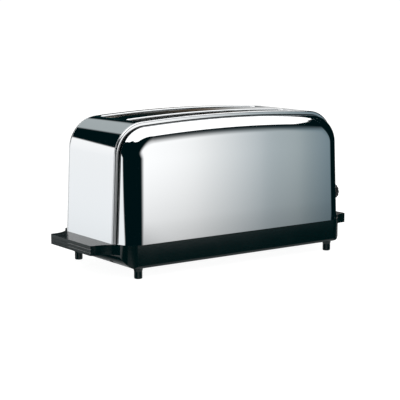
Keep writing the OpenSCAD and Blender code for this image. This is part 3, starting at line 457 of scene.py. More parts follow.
# %% Drawn wire
material, tree, shader, place = finish("bright_drawn_wire", "#BDBBB6", roughness=0.28, metallic=1.0)
heat = add(tree, "ShaderNodeTexNoise", {"Vector": place, "Scale": 1 / (40 * MM), "Detail": 3.0})
marks = add(tree, "ShaderNodeTexNoise", {"Vector": place, "Scale": 1 / (0.5 * MM), "Detail": 1.0})
tint = add(tree, "ShaderNodeMix", {0: heat.outputs[0], 6: linear("#B9B8B5"), 7: linear("#B7A98F")},
           data_type="RGBA")
gloss = add(tree, "ShaderNodeMapRange", {"Value": marks.outputs[0], "To Min": 0.2, "To Max": 0.38})
fill(tree, shader, {"Base Color": tint.outputs[2], "Roughness": gloss.outputs[0]})
FINISHES["wire_steel"] = material

# %% [markdown]
# The reflectors are aluminised steel, dipped and rolled: satin and slightly mottled. One noise drives
# both the tone and the gloss, because on the real sheet the paler patches are also the duller ones.

# %% Aluminised sheet
material, tree, shader, place = finish("satin_aluminised_sheet", "#C8C8C5", roughness=0.32, metallic=1.0)
mottle = add(tree, "ShaderNodeTexNoise", {"Vector": place, "Scale": 1 / (8 * MM), "Detail": 4.0})
tint = add(tree, "ShaderNodeMix", {0: mottle.outputs[0], 6: linear("#B9B8B3"), 7: linear("#D2D2CF")},
           data_type="RGBA")
gloss = add(tree, "ShaderNodeMapRange", {"Value": mottle.outputs[0], "To Min": 0.25, "To Max": 0.42})
fill(tree, shader, {"Base Color": tint.outputs[2], "Roughness": gloss.outputs[0]})
FINISHES["reflector_sheet"] = material

# %% [markdown]
# Heater cards are pressed mica flakes: a brown-grey board in which single flakes glint. Scattered chips
# could be modelled, but at 2.5 mm a cell pattern with its own tone and gloss in each cell is enough.

# %% Pressed mica
material, tree, shader, place = finish("pressed_mica", "#A48C66", roughness=0.5)
flake = add(tree, "ShaderNodeTexVoronoi", {"Vector": place, "Scale": 1 / (2.5 * MM)})
shade = add(tree, "ShaderNodeSeparateColor", {0: flake.outputs["Color"]})
tint = add(tree, "ShaderNodeMix", {0: shade.outputs[0], 6: linear("#4C463B"), 7: linear("#6E6656")},
           data_type="RGBA")
gloss = add(tree, "ShaderNodeMapRange", {"Value": shade.outputs[1], "To Min": 0.25, "To Max": 0.65})
fill(tree, shader, {"Base Color": tint.outputs[2], "Roughness": gloss.outputs[0]})
FINISHES["mica"] = material

# %% [markdown]
# The heating ribbon is a chromium alloy that grows a dark oxide, blue-grey to brown along its length.
# A plain dark metal would look painted, so a slow noise wanders between the two colours.

# %% Oxidised ribbon
material, tree, shader, place = finish("oxidised_heating_ribbon", "#5A524C", roughness=0.45, metallic=0.85)
oxide = add(tree, "ShaderNodeTexNoise", {"Vector": place, "Scale": 1 / (15 * MM), "Detail": 3.0})
tint = add(tree, "ShaderNodeMix", {0: oxide.outputs[0], 6: linear("#4A4C52"), 7: linear("#6B5848")},
           data_type="RGBA")
fill(tree, shader, {"Base Color": tint.outputs[2]})
FINISHES["resistance_ribbon"] = material

# %% [markdown]
# Springs and magnet iron are plain steels, darkened by oil. The film is uneven, thicker and glossier in
# places, which one noise can show in both the colour and the gloss. Two materials by hand would say the
# same twice, so a function makes both from their tones and gloss.

# %% Oiled spring wire and soft iron
OIL_SMOOTHS = 0.08
DRY_ROUGHENS = 0.1


def oiled_steel(name, first, second, roughness):
    """Steel under an oil film that fades between two tones."""
    material, tree, shader, place = finish(name, first, roughness=roughness, metallic=1.0)
    oil = add(tree, "ShaderNodeTexNoise", {"Vector": place, "Scale": 1 / (6 * MM), "Detail": 3.0})
    tint = add(tree, "ShaderNodeMix", {0: oil.outputs[0], 6: linear(first), 7: linear(second)},
               data_type="RGBA")
    gloss = add(tree, "ShaderNodeMapRange", {
        "Value": oil.outputs[0], "To Min": roughness - OIL_SMOOTHS, "To Max": roughness + DRY_ROUGHENS})
    fill(tree, shader, {"Base Color": tint.outputs[2], "Roughness": gloss.outputs[0]})
    return material


FINISHES["spring_steel"] = oiled_steel("oiled_spring_wire", "#77787A", "#5E5C58", 0.35)
FINISHES["magnet_iron"] = oiled_steel("soft_magnet_iron", "#66676A", "#55524D", 0.42)

# %% [markdown]
# The magnet's coil is enamelled copper wire, wound in level turns. The wire is 0.3 mm, drawn at 0.8 mm so
# that it shows. Hundreds of turns could be swept, but the coil sits deep inside, so a wave pattern
# lowers the gaps between them and darkens them with painted shade.

# %% Copper winding
# A wave pattern of scale 1 repeats after this many metres.
WAVE_REPEAT = 0.31

material, tree, shader, place = finish("enamelled_copper_winding", "#9A5A2C", roughness=0.3, metallic=0.9)
turns = add(tree, "ShaderNodeTexWave", {"Vector": place, "Scale": WAVE_REPEAT / (0.8 * MM)},
            bands_direction="Z")
# The darker copper tone in the gaps between turns is painted shade.
tint = add(tree, "ShaderNodeMix", {0: turns.outputs["Fac"], 6: linear("#6B3A1A"), 7: linear("#B06A36")},
           data_type="RGBA")
bump = add(tree, "ShaderNodeBump", {"Height": turns.outputs["Fac"], "Distance": 0.15 * MM})
fill(tree, shader, {"Base Color": tint.outputs[2], "Normal": bump.outputs[0]})
FINISHES["coil_winding"] = material

# %% [markdown]
# The circuit board is glass fibre under green solder mask. Copper tracks show through it as lighter,
# raised lanes. A drawn layout would be a picture, and the joints of a brick pattern run much like it.

# %% Circuit board
material, tree, shader, place = finish("green_solder_mask", "#1F5A33", roughness=0.35)
tracks = add(tree, "ShaderNodeTexBrick", {"Vector": place, "Scale": 1 / (12 * MM), "Mortar Size": 0.06})
tint = add(tree, "ShaderNodeMix", {0: tracks.outputs["Fac"], 6: linear("#1B4F2C"), 7: linear("#3C8A4C")},
           data_type="RGBA")
bump = add(tree, "ShaderNodeBump", {"Height": tracks.outputs["Fac"], "Distance": 0.04 * MM})
fill(tree, shader, {"Base Color": tint.outputs[2], "Normal": bump.outputs[0]})
FINISHES["circuit_board"] = material

# %% [markdown]
# Switch, dial body and terminals are pale nylon mouldings, satin, with a slightly uneven tone and skin.
# The resin's own translucence hardly shows in such small dark places, so it is left opaque.

# %% Nylon mouldings
material, tree, shader, place = finish("satin_nylon", "#B9B8B2", roughness=0.42)
skin = add(tree, "ShaderNodeTexNoise", {"Vector": place, "Scale": 1 / (5 * MM), "Detail": 3.0})
tint = add(tree, "ShaderNodeMix", {0: skin.outputs[0], 6: linear("#AEADA6"), 7: linear("#C4C3BD")},
           data_type="RGBA")
bump = add(tree, "ShaderNodeBump", {"Height": skin.outputs[0], "Distance": 0.02 * MM})
fill(tree, shader, {"Base Color": tint.outputs[2], "Normal": bump.outputs[0]})
FINISHES["component_plastic"] = material

# %% [markdown]
# Screws carry zinc too, but plated in a tumbling barrel, so they are brighter, show no spangle and have
# tiny dents under a millimetre wide. A fine noise gives both the dents and their change of gloss.

# %% Plated screws
material, tree, shader, place = finish("tumbled_zinc_screw", "#C2C4C6", roughness=0.26, metallic=1.0)
dents = add(tree, "ShaderNodeTexNoise", {"Vector": place, "Scale": 1 / (0.8 * MM), "Detail": 2.0})
gloss = add(tree, "ShaderNodeMapRange", {"Value": dents.outputs[0], "To Min": 0.18, "To Max": 0.36})
bump = add(tree, "ShaderNodeBump", {"Height": dents.outputs[0], "Distance": 0.01 * MM})
fill(tree, shader, {"Roughness": gloss.outputs[0], "Normal": bump.outputs[0]})
FINISHES["screw_steel"] = material

# %% [markdown]
# The cord inlet's grommet is moulded rubber: dull black, with a grey bloom where fillers reach the skin.
# A flat black would swallow its form, so the bloom also lifts the surface a little.

# %% Moulded rubber
material, tree, shader, place = finish("moulded_rubber", "#101010", roughness=0.65)
bloom = add(tree, "ShaderNodeTexNoise", {"Vector": place, "Scale": 1 / (4 * MM), "Detail": 4.0})
tint = add(tree, "ShaderNodeMix", {0: bloom.outputs[0], 6: linear("#0C0C0C"), 7: linear("#1C1C1B")},
           data_type="RGBA")
bump = add(tree, "ShaderNodeBump", {"Height": bloom.outputs[0], "Distance": 0.02 * MM})
fill(tree, shader, {"Base Color": tint.outputs[2], "Normal": bump.outputs[0]})
FINISHES["grommet_rubber"] = material

# %% [markdown]
# Each node of the CAD model names the slot that its material belongs in, so one loop dresses them all.
# Naming the finish node by node would do the same, but it could drift from the model. The base is kept
# out of reflections, because the end wall's foot would mirror the black ledge and lose its lower edge.

# %% Finishes by slot
SLOTS = {part["node"]: part["material_slot"] for part in frame["record"]["subparts"]}

for name, slot in SLOTS.items():
    nodes[name].data.materials.clear()
    nodes[name].data.materials.append(FINISHES[slot])
nodes["base"].visible_glossy = False
print("finishes:", len(FINISHES), "on", len(SLOTS), "nodes")

# %% [markdown]
# The shell is three steel pressings: a band over the ends and the top, and a pan on each side.
# A mirror shows every facet of the CAD mesh, and smoothing it would bend the flat faces. So they are
# rebuilt from their own curves, and each corner of each face gets its true normal. The outline is an
# arch: leaning walls, round corners and a shallow dome that touches both.

# %% Arch of the shell
SHEET = 1.0 * MM
CORNER_R = 46 * MM
DOME_R = 2030 * MM
LEAN = math.radians(2.6)

band_low, band_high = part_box("wrap_band")
_, side_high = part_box("rear_side_panel")
SHELL_HALF = band_high.x
SHELL_FOOT = band_low.z
SHELL_TOP = band_high.z
BAND_HALF = band_high.y
FACE_Y = side_high.y

lean_cos, lean_sin = math.cos(LEAN), math.sin(LEAN)
dome_z = SHELL_TOP - DOME_R
wall_reach = SHELL_HALF * lean_cos + SHELL_FOOT * lean_sin
corner_t = wall_reach - CORNER_R - dome_z * lean_sin
corner_s = math.sqrt((DOME_R - CORNER_R) ** 2 - corner_t ** 2)
CORNER_X = corner_t * lean_cos - corner_s * lean_sin
CORNER_Z = dome_z + corner_t * lean_sin + corner_s * lean_cos
DOME_HALF = math.atan2(CORNER_X, CORNER_Z - dome_z)
print("arch: corner's middle at", round(CORNER_X / MM, 2), round(CORNER_Z / MM, 2),
      "mm, dome", round(math.degrees(DOME_HALF), 2), "degrees each way")

# %% [markdown]
# A place on the arch is known by the direction of its normal there, its turn. That suits a sheet: the
# inner side has the same turn at a greater depth. Steps of turn also put more points where the arch
# bends most, which equal steps along X would not.

# %% Points on the arch
CORNER_STEPS = 48
DOME_STEPS = 72
STRAIGHT_UP = math.pi / 2


def arch_point(turn, depth):
    """Point in X and Z where the arch's normal has a direction, at a depth under the surface."""
    if abs(turn - STRAIGHT_UP) <= DOME_HALF:
        x, z, radius = 0.0, dome_z, DOME_R
    else:
        x, z, radius = math.copysign(CORNER_X, STRAIGHT_UP - turn), CORNER_Z, CORNER_R
    return x + (radius - depth) * math.cos(turn), z + (radius - depth) * math.sin(turn)


def arch_turn(x):
    """Direction of the arch's normal above a place along X, on the dome or on a corner."""
    if abs(x) <= DOME_R * math.sin(DOME_HALF):
        return math.acos(x / DOME_R)
    across = (abs(x) - CORNER_X) / CORNER_R
    return math.acos(across) if x > 0 else math.pi - math.acos(across)


corner_turn = STRAIGHT_UP - DOME_HALF - LEAN
TURNS = [LEAN + corner_turn * i / CORNER_STEPS for i in range(CORNER_STEPS)]
TURNS += [STRAIGHT_UP - DOME_HALF + 2 * DOME_HALF * i / DOME_STEPS for i in range(DOME_STEPS + 1)]
TURNS += [STRAIGHT_UP + DOME_HALF + corner_turn * i / CORNER_STEPS for i in range(1, CORNER_STEPS + 1)]
print("arch:", len(TURNS), "turns from wall to wall")

# %% [markdown]
# A station is a stop along the arch: a rise on one of the end walls, or a turn on the arch itself. A
# section of the sheet is placed at each station, and faces join one station to the next. Blender's own
# curve bevel could sweep it too, but it leaves no say over the normals.

# %% Stations along the arch
STATIONS = [("wall", 1, 0.0)] + [("arch", t, 0) for t in TURNS] + [("wall", -1, 0.0)]


def wall_point(side, rise, depth):
    """Point on an end wall at a distance up from its foot."""
    foot = SHELL_HALF - depth / lean_cos
    return side * (foot - rise * lean_sin), SHELL_FOOT + rise * lean_cos


def station_point(station, depth):
    """Point in X and Z at a station, at a depth under the surface."""
    kind, value, rise = station
    return wall_point(value, rise, depth) if kind == "wall" else arch_point(value, depth)


def station_normal(station):
    """Way out of the sheet in X and Z at a station."""
    kind, value, _ = station
    if kind == "wall":
        return value * lean_cos, lean_sin
    return math.cos(value), math.sin(value)


def corner(station, spot, hand):
    """Place and normal of a section spot at a station. Hand is 1 for the rear and -1 for the front."""
    depth, y, across, along = spot
    (x, z), (nx, nz) = station_point(station, depth), station_normal(station)
    return (x, hand * y, z), (-across * nx, hand * along, -across * nz)


print("stations:", len(STATIONS), "along the arch")

# %% [markdown]
# A side panel's section starts at the flat face, turns in over a 25 mm shoulder and ends in a lip that
# drops beside the band. Then it runs back along the inner side. Each stretch names its finish: the lip
# has the dark grey of painted seam shade, and the rest is polished. A spot is a depth, a Y and a normal.

# %% Section of a side panel
POLISHED, SEAM_SHADE, SATIN, ROLLED = range(4)
SEAM_GAP = 0.4 * MM
SEAM_STEP = 5.6 * MM
SEAM_LIP = 3 * MM
SHOULDER_R = 25 * MM
SHOULDER_STEPS = 24


def arc(middle, radius, start, end, steps, out=1):
    """Section spots round an arc as (depth, y, normal depth, normal y), angles in degrees."""
    spots = []
    for i in range(steps + 1):
        a = math.radians(start + (end - start) * i / steps)
        c, s = math.cos(a), math.sin(a)
        spots.append((middle[0] + radius * c, middle[1] + radius * s, out * c, out * s))
    return spots


def line(first, second, normal):
    """Section spots at the ends of a straight stretch."""
    return [(*first, *normal), (*second, *normal)]


seam_y = BAND_HALF + SEAM_GAP
inside_y = seam_y + SHEET
lip_at = SEAM_STEP + SEAM_LIP
shoulder_at = (SEAM_STEP + SHOULDER_R, FACE_Y - SHOULDER_R)
# The lip's dark grey is painted shade in the seam between panel and band.
PANEL = [
    (POLISHED, arc(shoulder_at, SHOULDER_R, 90, 180, SHOULDER_STEPS)),
    (POLISHED, line((SEAM_STEP, shoulder_at[1]), (SEAM_STEP, seam_y), (-1, 0))),
    (SEAM_SHADE, line((SEAM_STEP, seam_y), (lip_at, seam_y), (0, -1))),
    (SEAM_SHADE, line((lip_at, seam_y), (lip_at, inside_y), (1, 0))),
    (SEAM_SHADE, line((lip_at, inside_y), (SEAM_STEP + SHEET, inside_y), (0, 1))),
    (POLISHED, line((SEAM_STEP + SHEET, inside_y), (SEAM_STEP + SHEET, shoulder_at[1]), (1, 0))),
    (POLISHED, arc(shoulder_at, SHOULDER_R - SHEET, 180, 90, SHOULDER_STEPS, out=-1)),
]
print("side panel's section:", sum(len(stretch) for _, stretch in PANEL), "spots")

# %% [markdown]
# A sheet piece collects points, faces and the normal at every corner of every face, then becomes one
# mesh with those normals fixed. Points that meet are shared, so the sheet stays one closed solid. A
# solidify modifier could thicken a single skin, but it wouldn't keep these normals.

# %% Sheet pieces
# Steps in a metre. Points that fall on the same step are one point.
POINT_GRID = 1e7


class Sheet:
    """Points, faces and corner normals of one pressed piece."""

    def __init__(self):
        self.points, self.index = [], {}
        self.faces, self.normals, self.looks = [], [], []

    def point(self, place):
        """Number of the point at a place, which is shared if it is there already."""
        key = tuple(round(c * POINT_GRID) for c in place)
        if key not in self.index:
            self.index[key] = len(self.points)
            self.points.append(tuple(place))
        return self.index[key]

    def face(self, corners, look=POLISHED):
        """Corners are (place, normal) pairs, seen anticlockwise from outside."""
        kept = []
        for place, normal in corners:
            i = self.point(place)
            if i not in [k for k, _ in kept]:
                kept.append((i, normal))
        if len(kept) > 2:
            self.faces.append([i for i, _ in kept])
            self.normals += [tuple(n) for _, n in kept]
            self.looks.append(look)

    def make(self, name, slot, body, replaced, *looks):
        """Makes the mesh, with the slot's finish first and the other looks after it."""
        mesh = bpy.data.meshes.new(name)
        mesh.from_pydata(self.points, [], self.faces)
        for material in (FINISHES[slot], *looks):
            mesh.materials.append(material)
        mesh.polygons.foreach_set("material_index", self.looks)
        mesh.polygons.foreach_set("use_smooth", [True] * len(mesh.polygons))
        mesh.normals_split_custom_set(self.normals)
        piece = bpy.data.objects.new(name, mesh)
        bpy.context.scene.collection.objects.link(piece)
        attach(piece, body)
        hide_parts(replaced)
        print(name, len(self.points), "points", len(self.faces), "faces")


print("sheet pieces: points are shared within", round(1 / POINT_GRID / MM, 5), "mm")

# %% [markdown]
# Each side panel is a shallow pan: the section above, swept along the arch, and a flat face inside the
# shoulder. The face is one polygon, since a plane needs no more. At the foot the sheet's edge is closed
# by pairing the section's outer spots with its inner ones. Front and rear are mirror images.

# %% Side panels
DOWN = (0, 0, -1)


def sweep(sheet, section, hand, stations):
    """Sweeps the stretches of a section along the arch."""
    for look, stretch in section:
        for a, b in zip(stretch, stretch[1:]):
            for s, t in zip(stations, stations[1:]):
                ring = [corner(s, a, hand), corner(s, b, hand), corner(t, b, hand), corner(t, a, hand)]
                sheet.face(ring[::-1] if hand > 0 else ring, look)


def panel_foot(sheet, station, hand):
    """Closes the edge of the shoulder and the lip at one end of the arch."""
    spots = [spot for _, stretch in PANEL for spot in stretch]
    flip = (station is STATIONS[0]) == (hand > 0)
    for k in range(len(spots) // 2):
        pairs = [i for i in (k, k + 1, -k - 2, -k - 1) if -len(spots) <= i]
        ring = [corner(station, spots[i], hand)[0] for i in pairs]
        sheet.face([(p, DOWN) for p in (ring if flip else ring[::-1])])


def side_panel(name, replaced, hand):
    """One pan, from its section, its flat face and its foot."""
    sheet = Sheet()
    sweep(sheet, PANEL, hand, STATIONS)
    for face_y, facing in ((FACE_Y, 1), (FACE_Y - SHEET, -1)):
        rim = [corner(s, (shoulder_at[0], face_y, 0, facing), hand) for s in STATIONS]
        sheet.face(rim if hand * facing < 0 else rim[::-1])
    for station in (STATIONS[0], STATIONS[-1]):
        panel_foot(sheet, station, hand)
    ends = [corner(s, (shoulder_at[0], y, 0, 1), hand)[0]
            for s, y in ((STATIONS[0], FACE_Y), (STATIONS[0], FACE_Y - SHEET),
                         (STATIONS[-1], FACE_Y - SHEET), (STATIONS[-1], FACE_Y))]
    sheet.face([(p, DOWN) for p in (ends[::-1] if hand < 0 else ends)])
    sheet.make(name, "polished_steel", "casing", replaced, SEAM_SHADE_STEEL)


side_panel("front_side_panel_skin", "front_side_panel", -1)
side_panel("rear_side_panel_skin", "rear_side_panel", 1)

# %% [markdown]
# The band is one strip with rolled edges. Its flat part is laid out as five lanes across, because the
# two bread slots and the window behind the control panel then fall on lane edges. A boolean could punch
# the holes instead, but it would leave slivers that show in a mirror.

# %% Lanes of the band
RIM_R = 4.5 * MM
SLOT_X = (-145.5 * MM, 124.5 * MM)
SLOT_Y = 33.5 * MM
SLOT_W = 30 * MM
SLOT_R = 5 * MM
SLOT_ROLL = 2.0 * MM
WINDOW_HALF = 50 * MM
WINDOW_RISE = (8 * MM, 102 * MM)
ROUND_STEPS = 8
SAME_TURN = 1e-4
SLOT_REACH = SLOT_R + SLOT_ROLL
flat_half = BAND_HALF - RIM_R
lane_core = SLOT_W / 2 - SLOT_R


def past_slot_end(x):
    """How far a place along X lies past the straight part of a slot."""
    return max(SLOT_X[0] + SLOT_R - x, x - SLOT_X[1] + SLOT_R, 0)


def lanes(station):
    """The six Y places that bound the five lanes at a station."""
    if station[0] == "arch":
        past = past_slot_end(arch_point(station[1], 0)[0])
        edge = lane_core + math.sqrt(max(SLOT_REACH ** 2 - past ** 2, 0))
        inner = SLOT_Y - edge
    else:
        edge = WINDOW_HALF - SLOT_Y if station[1] > 0 else lane_core
        inner = SLOT_Y - lane_core
    return [-flat_half, -SLOT_Y - edge, -inner, inner, SLOT_Y + edge, flat_half]


slot_turns = []
for end, way in ((SLOT_X[0] + SLOT_R, -1), (SLOT_X[1] - SLOT_R, 1)):
    for i in range(ROUND_STEPS + 1):
        reach = SLOT_REACH * math.sin(math.pi / 2 * i / ROUND_STEPS)
        slot_turns.append(arch_turn(end + way * reach))
SLOT_SPAN = (min(slot_turns), max(slot_turns))
spare = [t for t in TURNS
         if min(abs(t - s) for s in slot_turns) > SAME_TURN or t in (TURNS[0], TURNS[-1])]
BAND_STATIONS = [("wall", 1, 0.0)] + [("wall", 1, rise) for rise in WINDOW_RISE]
BAND_STATIONS += [("arch", t, 0) for t in sorted(spare + slot_turns)] + [("wall", -1, 0.0)]
print("band:", len(BAND_STATIONS), "stations, slots", round((SLOT_X[1] - SLOT_X[0]) / MM, 1), "mm long")

# %% [markdown]
# The band's edges are rolled over and end in a lip. A round roll would catch too broad a highlight: the
# real one is bent sharply, so its section is a squared quarter turn. The last steps before the flat are
# the satin line, and the inner side of the sheet stays round.

# %% Rolled edges
RIM_LIP = 3 * MM
RIM_POWER = 5.0
RIM_STEPS = 20
SATIN_STEPS = 2


def squared(middle, radius, power, steps):
    """Section spots round a quarter turn that is tighter in its middle than a circle."""
    spots = []
    for i in range(steps + 1):
        a = math.pi / 2 * i / steps
        c, s = math.sin(a), math.cos(a)
        spot = (middle[0] - radius * c ** (2 / power), middle[1] + radius * s ** (2 / power))
        normal = (-c ** (2 - 2 / power), s ** (2 - 2 / power))
        size = math.hypot(*normal)
        spots.append((*spot, normal[0] / size, normal[1] / size))
    return spots


rim_at = (RIM_R, flat_half)
rim_end = RIM_R + RIM_LIP
rim_inside = BAND_HALF - SHEET
RIM_SIDE = line((rim_end, BAND_HALF), (RIM_R, BAND_HALF), (0, 1))
RIM_ROLL = squared(rim_at, RIM_R, RIM_POWER, RIM_STEPS)
RIM_BACK = [arc(rim_at, RIM_R - SHEET, 180, 90, RIM_STEPS, out=-1),
            line((RIM_R, rim_inside), (rim_end, rim_inside), (0, -1))]
# The rim's lip and its cut edge take the dark grey of painted shade in the seam beside the panel.
RIM = [
    (SEAM_SHADE, RIM_SIDE),
    (ROLLED, RIM_ROLL[:-SATIN_STEPS]),
    (SATIN, RIM_ROLL[-SATIN_STEPS - 1:]),
    (POLISHED, RIM_BACK[0]),
    (SEAM_SHADE, RIM_BACK[1]),
    (SEAM_SHADE, line((rim_end, rim_inside), (rim_end, BAND_HALF), (1, 0))),
]

band = Sheet()
for hand in (1, -1):
    sweep(band, RIM, hand, BAND_STATIONS)
print("band: rolled edges make", len(band.faces), "faces")

# %% [markdown]
# A slot's edge rolls down into a lip that guides the bread. The roll gives the bright line that runs
# round the slot. It is made ring by ring: each ring lies further in and deeper than the one before, and
# its normal turns from up to inward. A bevel modifier would not follow the arch so exactly.

# %% Lips of the slots
SLOT_LIP = 6 * MM


def slot_loop(hand):
    """Spots round a slot as (station, core y, way out along X, way out along Y)."""
    loop = []
    run = [s for s in BAND_STATIONS if s[0] == "arch" and SLOT_SPAN[0] <= s[1] <= SLOT_SPAN[1]]
    for stations, side in ((run, 1), (run[::-1], -1)):
        for s in stations:
            x = arch_point(s[1], 0)[0]
            out_x = math.copysign(past_slot_end(x), x) / SLOT_REACH
            out_y = side * math.sqrt(max(1 - out_x ** 2, 0))
            loop.append((s, hand * SLOT_Y + side * lane_core, out_x, out_y))
    return loop


def lip_corner(spot, inset, depth, up, inward):
    """Place and normal on a slot's lip, an inset in from the start of its roll and a depth down."""
    station, core_y, out_x, out_y = spot
    turn = arch_turn(arch_point(station[1], 0)[0] - inset * out_x)
    x, z = arch_point(turn, depth)
    y = core_y + (SLOT_REACH - inset) * out_y
    n = Vector((up * math.cos(turn) - inward * out_x, -inward * out_y, up * math.sin(turn)))
    return (x, y, z), tuple(n.normalized())


def slot_lip(sheet, hand):
    """The rolled edge of a slot, its lip and the lip's back."""
    roll = []
    for i in range(ROUND_STEPS + 1):
        a = math.pi / 2 * i / ROUND_STEPS
        roll.append((SLOT_ROLL * math.sin(a), SLOT_ROLL * (1 - math.cos(a)), math.cos(a), math.sin(a)))
    back = SLOT_ROLL - SHEET
    stretches = [roll, [(SLOT_ROLL, SLOT_ROLL, 0, 1), (SLOT_ROLL, SLOT_LIP, 0, 1)],
                 [(SLOT_ROLL, SLOT_LIP, -1, 0), (back, SLOT_LIP, -1, 0)],
                 [(back, SLOT_LIP, 0, -1), (back, SLOT_ROLL, 0, -1)],
                 [(back, SLOT_ROLL, -1, -1), (0, SHEET, -1, 0)]]
    loop = slot_loop(hand)
    for stretch in stretches:
        for a, b in zip(stretch, stretch[1:]):
            for p, q in zip(loop, loop[1:] + loop[:1]):
                sheet.face([lip_corner(q, *a), lip_corner(q, *b), lip_corner(p, *b), lip_corner(p, *a)])


for hand in (1, -1):
    slot_lip(band, hand)
print("band:", len(band.faces), "faces with the slots' lips")

# %% [markdown]
# The flat of the band fills the lanes, once on the outer side and once on the inner side of the sheet.
# Where a slot or the window is, the lane has no face. One long polygon would be enough on a plane, but
# the band bends along the arch, so every station gets its own row.

# %% Flat of the band
SLOT_LANES = (1, 3)
WINDOW_LANES = (1, 2, 3)


def lane_open(lane, s, t):
    """True where a lane is cut away between two stations."""
    if s[0] == "wall" and t[0] == "wall":
        return s[2] == WINDOW_RISE[0] and lane in WINDOW_LANES
    if s[0] == "wall" or t[0] == "wall":
        return False
    return lane in SLOT_LANES and SLOT_SPAN[0] <= min(s[1], t[1]) and max(s[1], t[1]) <= SLOT_SPAN[1]


def lane_faces(sheet, depth, facing):
    """The flat part of the band on its outer or inner side, without its holes."""
    for s, t in zip(BAND_STATIONS, BAND_STATIONS[1:]):
        here, there = lanes(s), lanes(t)
        for lane in range(len(here) - 1):
            if lane_open(lane, s, t):
                continue
            spots = ((s, here[lane + 1]), (s, here[lane]), (t, there[lane]), (t, there[lane + 1]))
            ring = [corner(station, (depth, y, -facing, 0), 1) for station, y in spots]
            sheet.face(ring[::-1] if facing > 0 else ring)


lane_faces(band, 0.0, 1)
lane_faces(band, SHEET, -1)
print("band:", len(band.faces), "faces with the flat")

# %% [markdown]
# What is left open is the sheet's cut edge, at the two feet and round the window. Each is a strip one
# sheet wide that joins the outer side to the inner one. Closed edges make the band a solid, which lets
# nothing show through and gives the edge its own bright line.


# %% Cut edges of the band
def foot_edge(sheet, station):
    """Closes the sheet's edge at one foot of the band."""
    outer = [spot[:2] for spot in RIM_SIDE + RIM_ROLL]
    inner = [spot[:2] for stretch in RIM_BACK for spot in stretch][::-1]
    runs = []
    for rim, depth in ((outer, 0.0), (inner, SHEET)):
        run = rim + [(depth, y) for y in lanes(station)[4:0:-1]] + [(d, -y) for d, y in rim[::-1]]
        runs.append([corner(station, (d, y, 0, 0), 1)[0] for d, y in run])
    for a, b, c, d in zip(runs[0], runs[0][1:], runs[1][1:], runs[1]):
        ring = [a, b, c, d] if station is BAND_STATIONS[0] else [d, c, b, a]
        sheet.face([(p, DOWN) for p in ring])


def window_edge(sheet):
    """Closes the sheet's edge round the window behind the control panel."""
    low, high = (("wall", 1, rise) for rise in WINDOW_RISE)
    rim = [(low, y, (0, 0, 1)) for y in lanes(low)[1:4]] + [(low, WINDOW_HALF, (0, -1, 0))]
    rim += [(high, y, (0, 0, -1)) for y in lanes(high)[4:1:-1]] + [(high, -WINDOW_HALF, (0, 1, 0))]
    for (s, y, n), (t, z, _) in zip(rim, rim[1:] + rim[:1]):
        ring = [corner(s, (0, y, 0, 0), 1)[0], corner(t, (0, z, 0, 0), 1)[0],
                corner(t, (SHEET, z, 0, 0), 1)[0], corner(s, (SHEET, y, 0, 0), 1)[0]]
        sheet.face([(p, n) for p in ring])


for station in (BAND_STATIONS[0], BAND_STATIONS[-1]):
    foot_edge(band, station)
window_edge(band)
band.make("wrap_band_skin", "polished_steel", "casing", "wrap_band", SEAM_SHADE_STEEL, SATIN_STEEL, ROLLED_STEEL)

# %% [markdown]
# The two springs are round wire wound in a helix. They are swept as fine tubes over the coarse CAD
# coils, point by point, because a bevelled curve would have to be turned into a mesh first. Each one
# stretches between the two bodies that it joins.

# %% Springs
WIRE_SIDES = 12
STEPS_A_TURN = 32
CARRIAGE_TURNS = 14
CARRIAGE_WIRE = 1.0 * MM
BUTTON_TURNS = 5
BUTTON_WIRE = 0.8 * MM


def spring(name, node, turns, wire, axis):
    """A helix of round wire that fills a CAD spring's box."""
    low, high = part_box(node)
    middle = (low + high) / 2
    (u, v), lift = ((1, 2), 0) if axis == "x" else ((0, 1), 2)
    radius = (high[u] - low[u]) / 2 - wire / 2
    span = high[lift] - low[lift] - wire
    count = turns * STEPS_A_TURN
    slope = math.atan2(span / (2 * math.pi * turns), radius)
    places, faces = [], []
    for i in range(count + 1):
        a = 2 * math.pi * i / STEPS_A_TURN
        for k in range(WIRE_SIDES):
            b = 2 * math.pi * k / WIRE_SIDES
            out, up = wire / 2 * math.cos(b), wire / 2 * math.sin(b)
            place = [0.0, 0.0, 0.0]
            place[u] = middle[u] + (radius + out) * math.cos(a) + up * math.sin(slope) * math.sin(a)
            place[v] = middle[v] + (radius + out) * math.sin(a) - up * math.sin(slope) * math.cos(a)
            place[lift] = low[lift] + wire / 2 + span * i / count + up * math.cos(slope)
            places.append(place)
    for i in range(count):
        for k in range(WIRE_SIDES):
            a, b = i * WIRE_SIDES + k, i * WIRE_SIDES + (k + 1) % WIRE_SIDES
            faces.append((b, a, a + WIRE_SIDES, b + WIRE_SIDES))
    faces += [tuple(range(WIRE_SIDES)), tuple(range(count * WIRE_SIDES, (count + 1) * WIRE_SIDES))[::-1]]
    mesh = bpy.data.meshes.new(name)
    mesh.from_pydata(places, [], faces)
    mesh.polygons.foreach_set("use_smooth", [True] * len(mesh.polygons))
    mesh.materials.append(FINISHES["spring_steel"])
    piece = bpy.data.objects.new(name, mesh)
    bpy.context.scene.collection.objects.link(piece)
    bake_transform(piece)
    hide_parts(node)
    print(name, turns, "turns of", round(wire / MM, 1), "mm wire")


low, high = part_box("carriage_spring")
spring("carriage_spring_wire", "carriage_spring", CARRIAGE_TURNS, CARRIAGE_WIRE, "z")
low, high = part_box("button_spring")
spring("button_spring_wire", "button_spring", BUTTON_TURNS, BUTTON_WIRE, "x")

# %% [markdown]
# The marks on the controls are pad printed: a soft pad lays down a film of white ink about 0.1 mm thick,
# matt and a little uneven. A mask in the plastic's material could draw them too, but a real film rides
# with its piece and keeps a sharp edge.

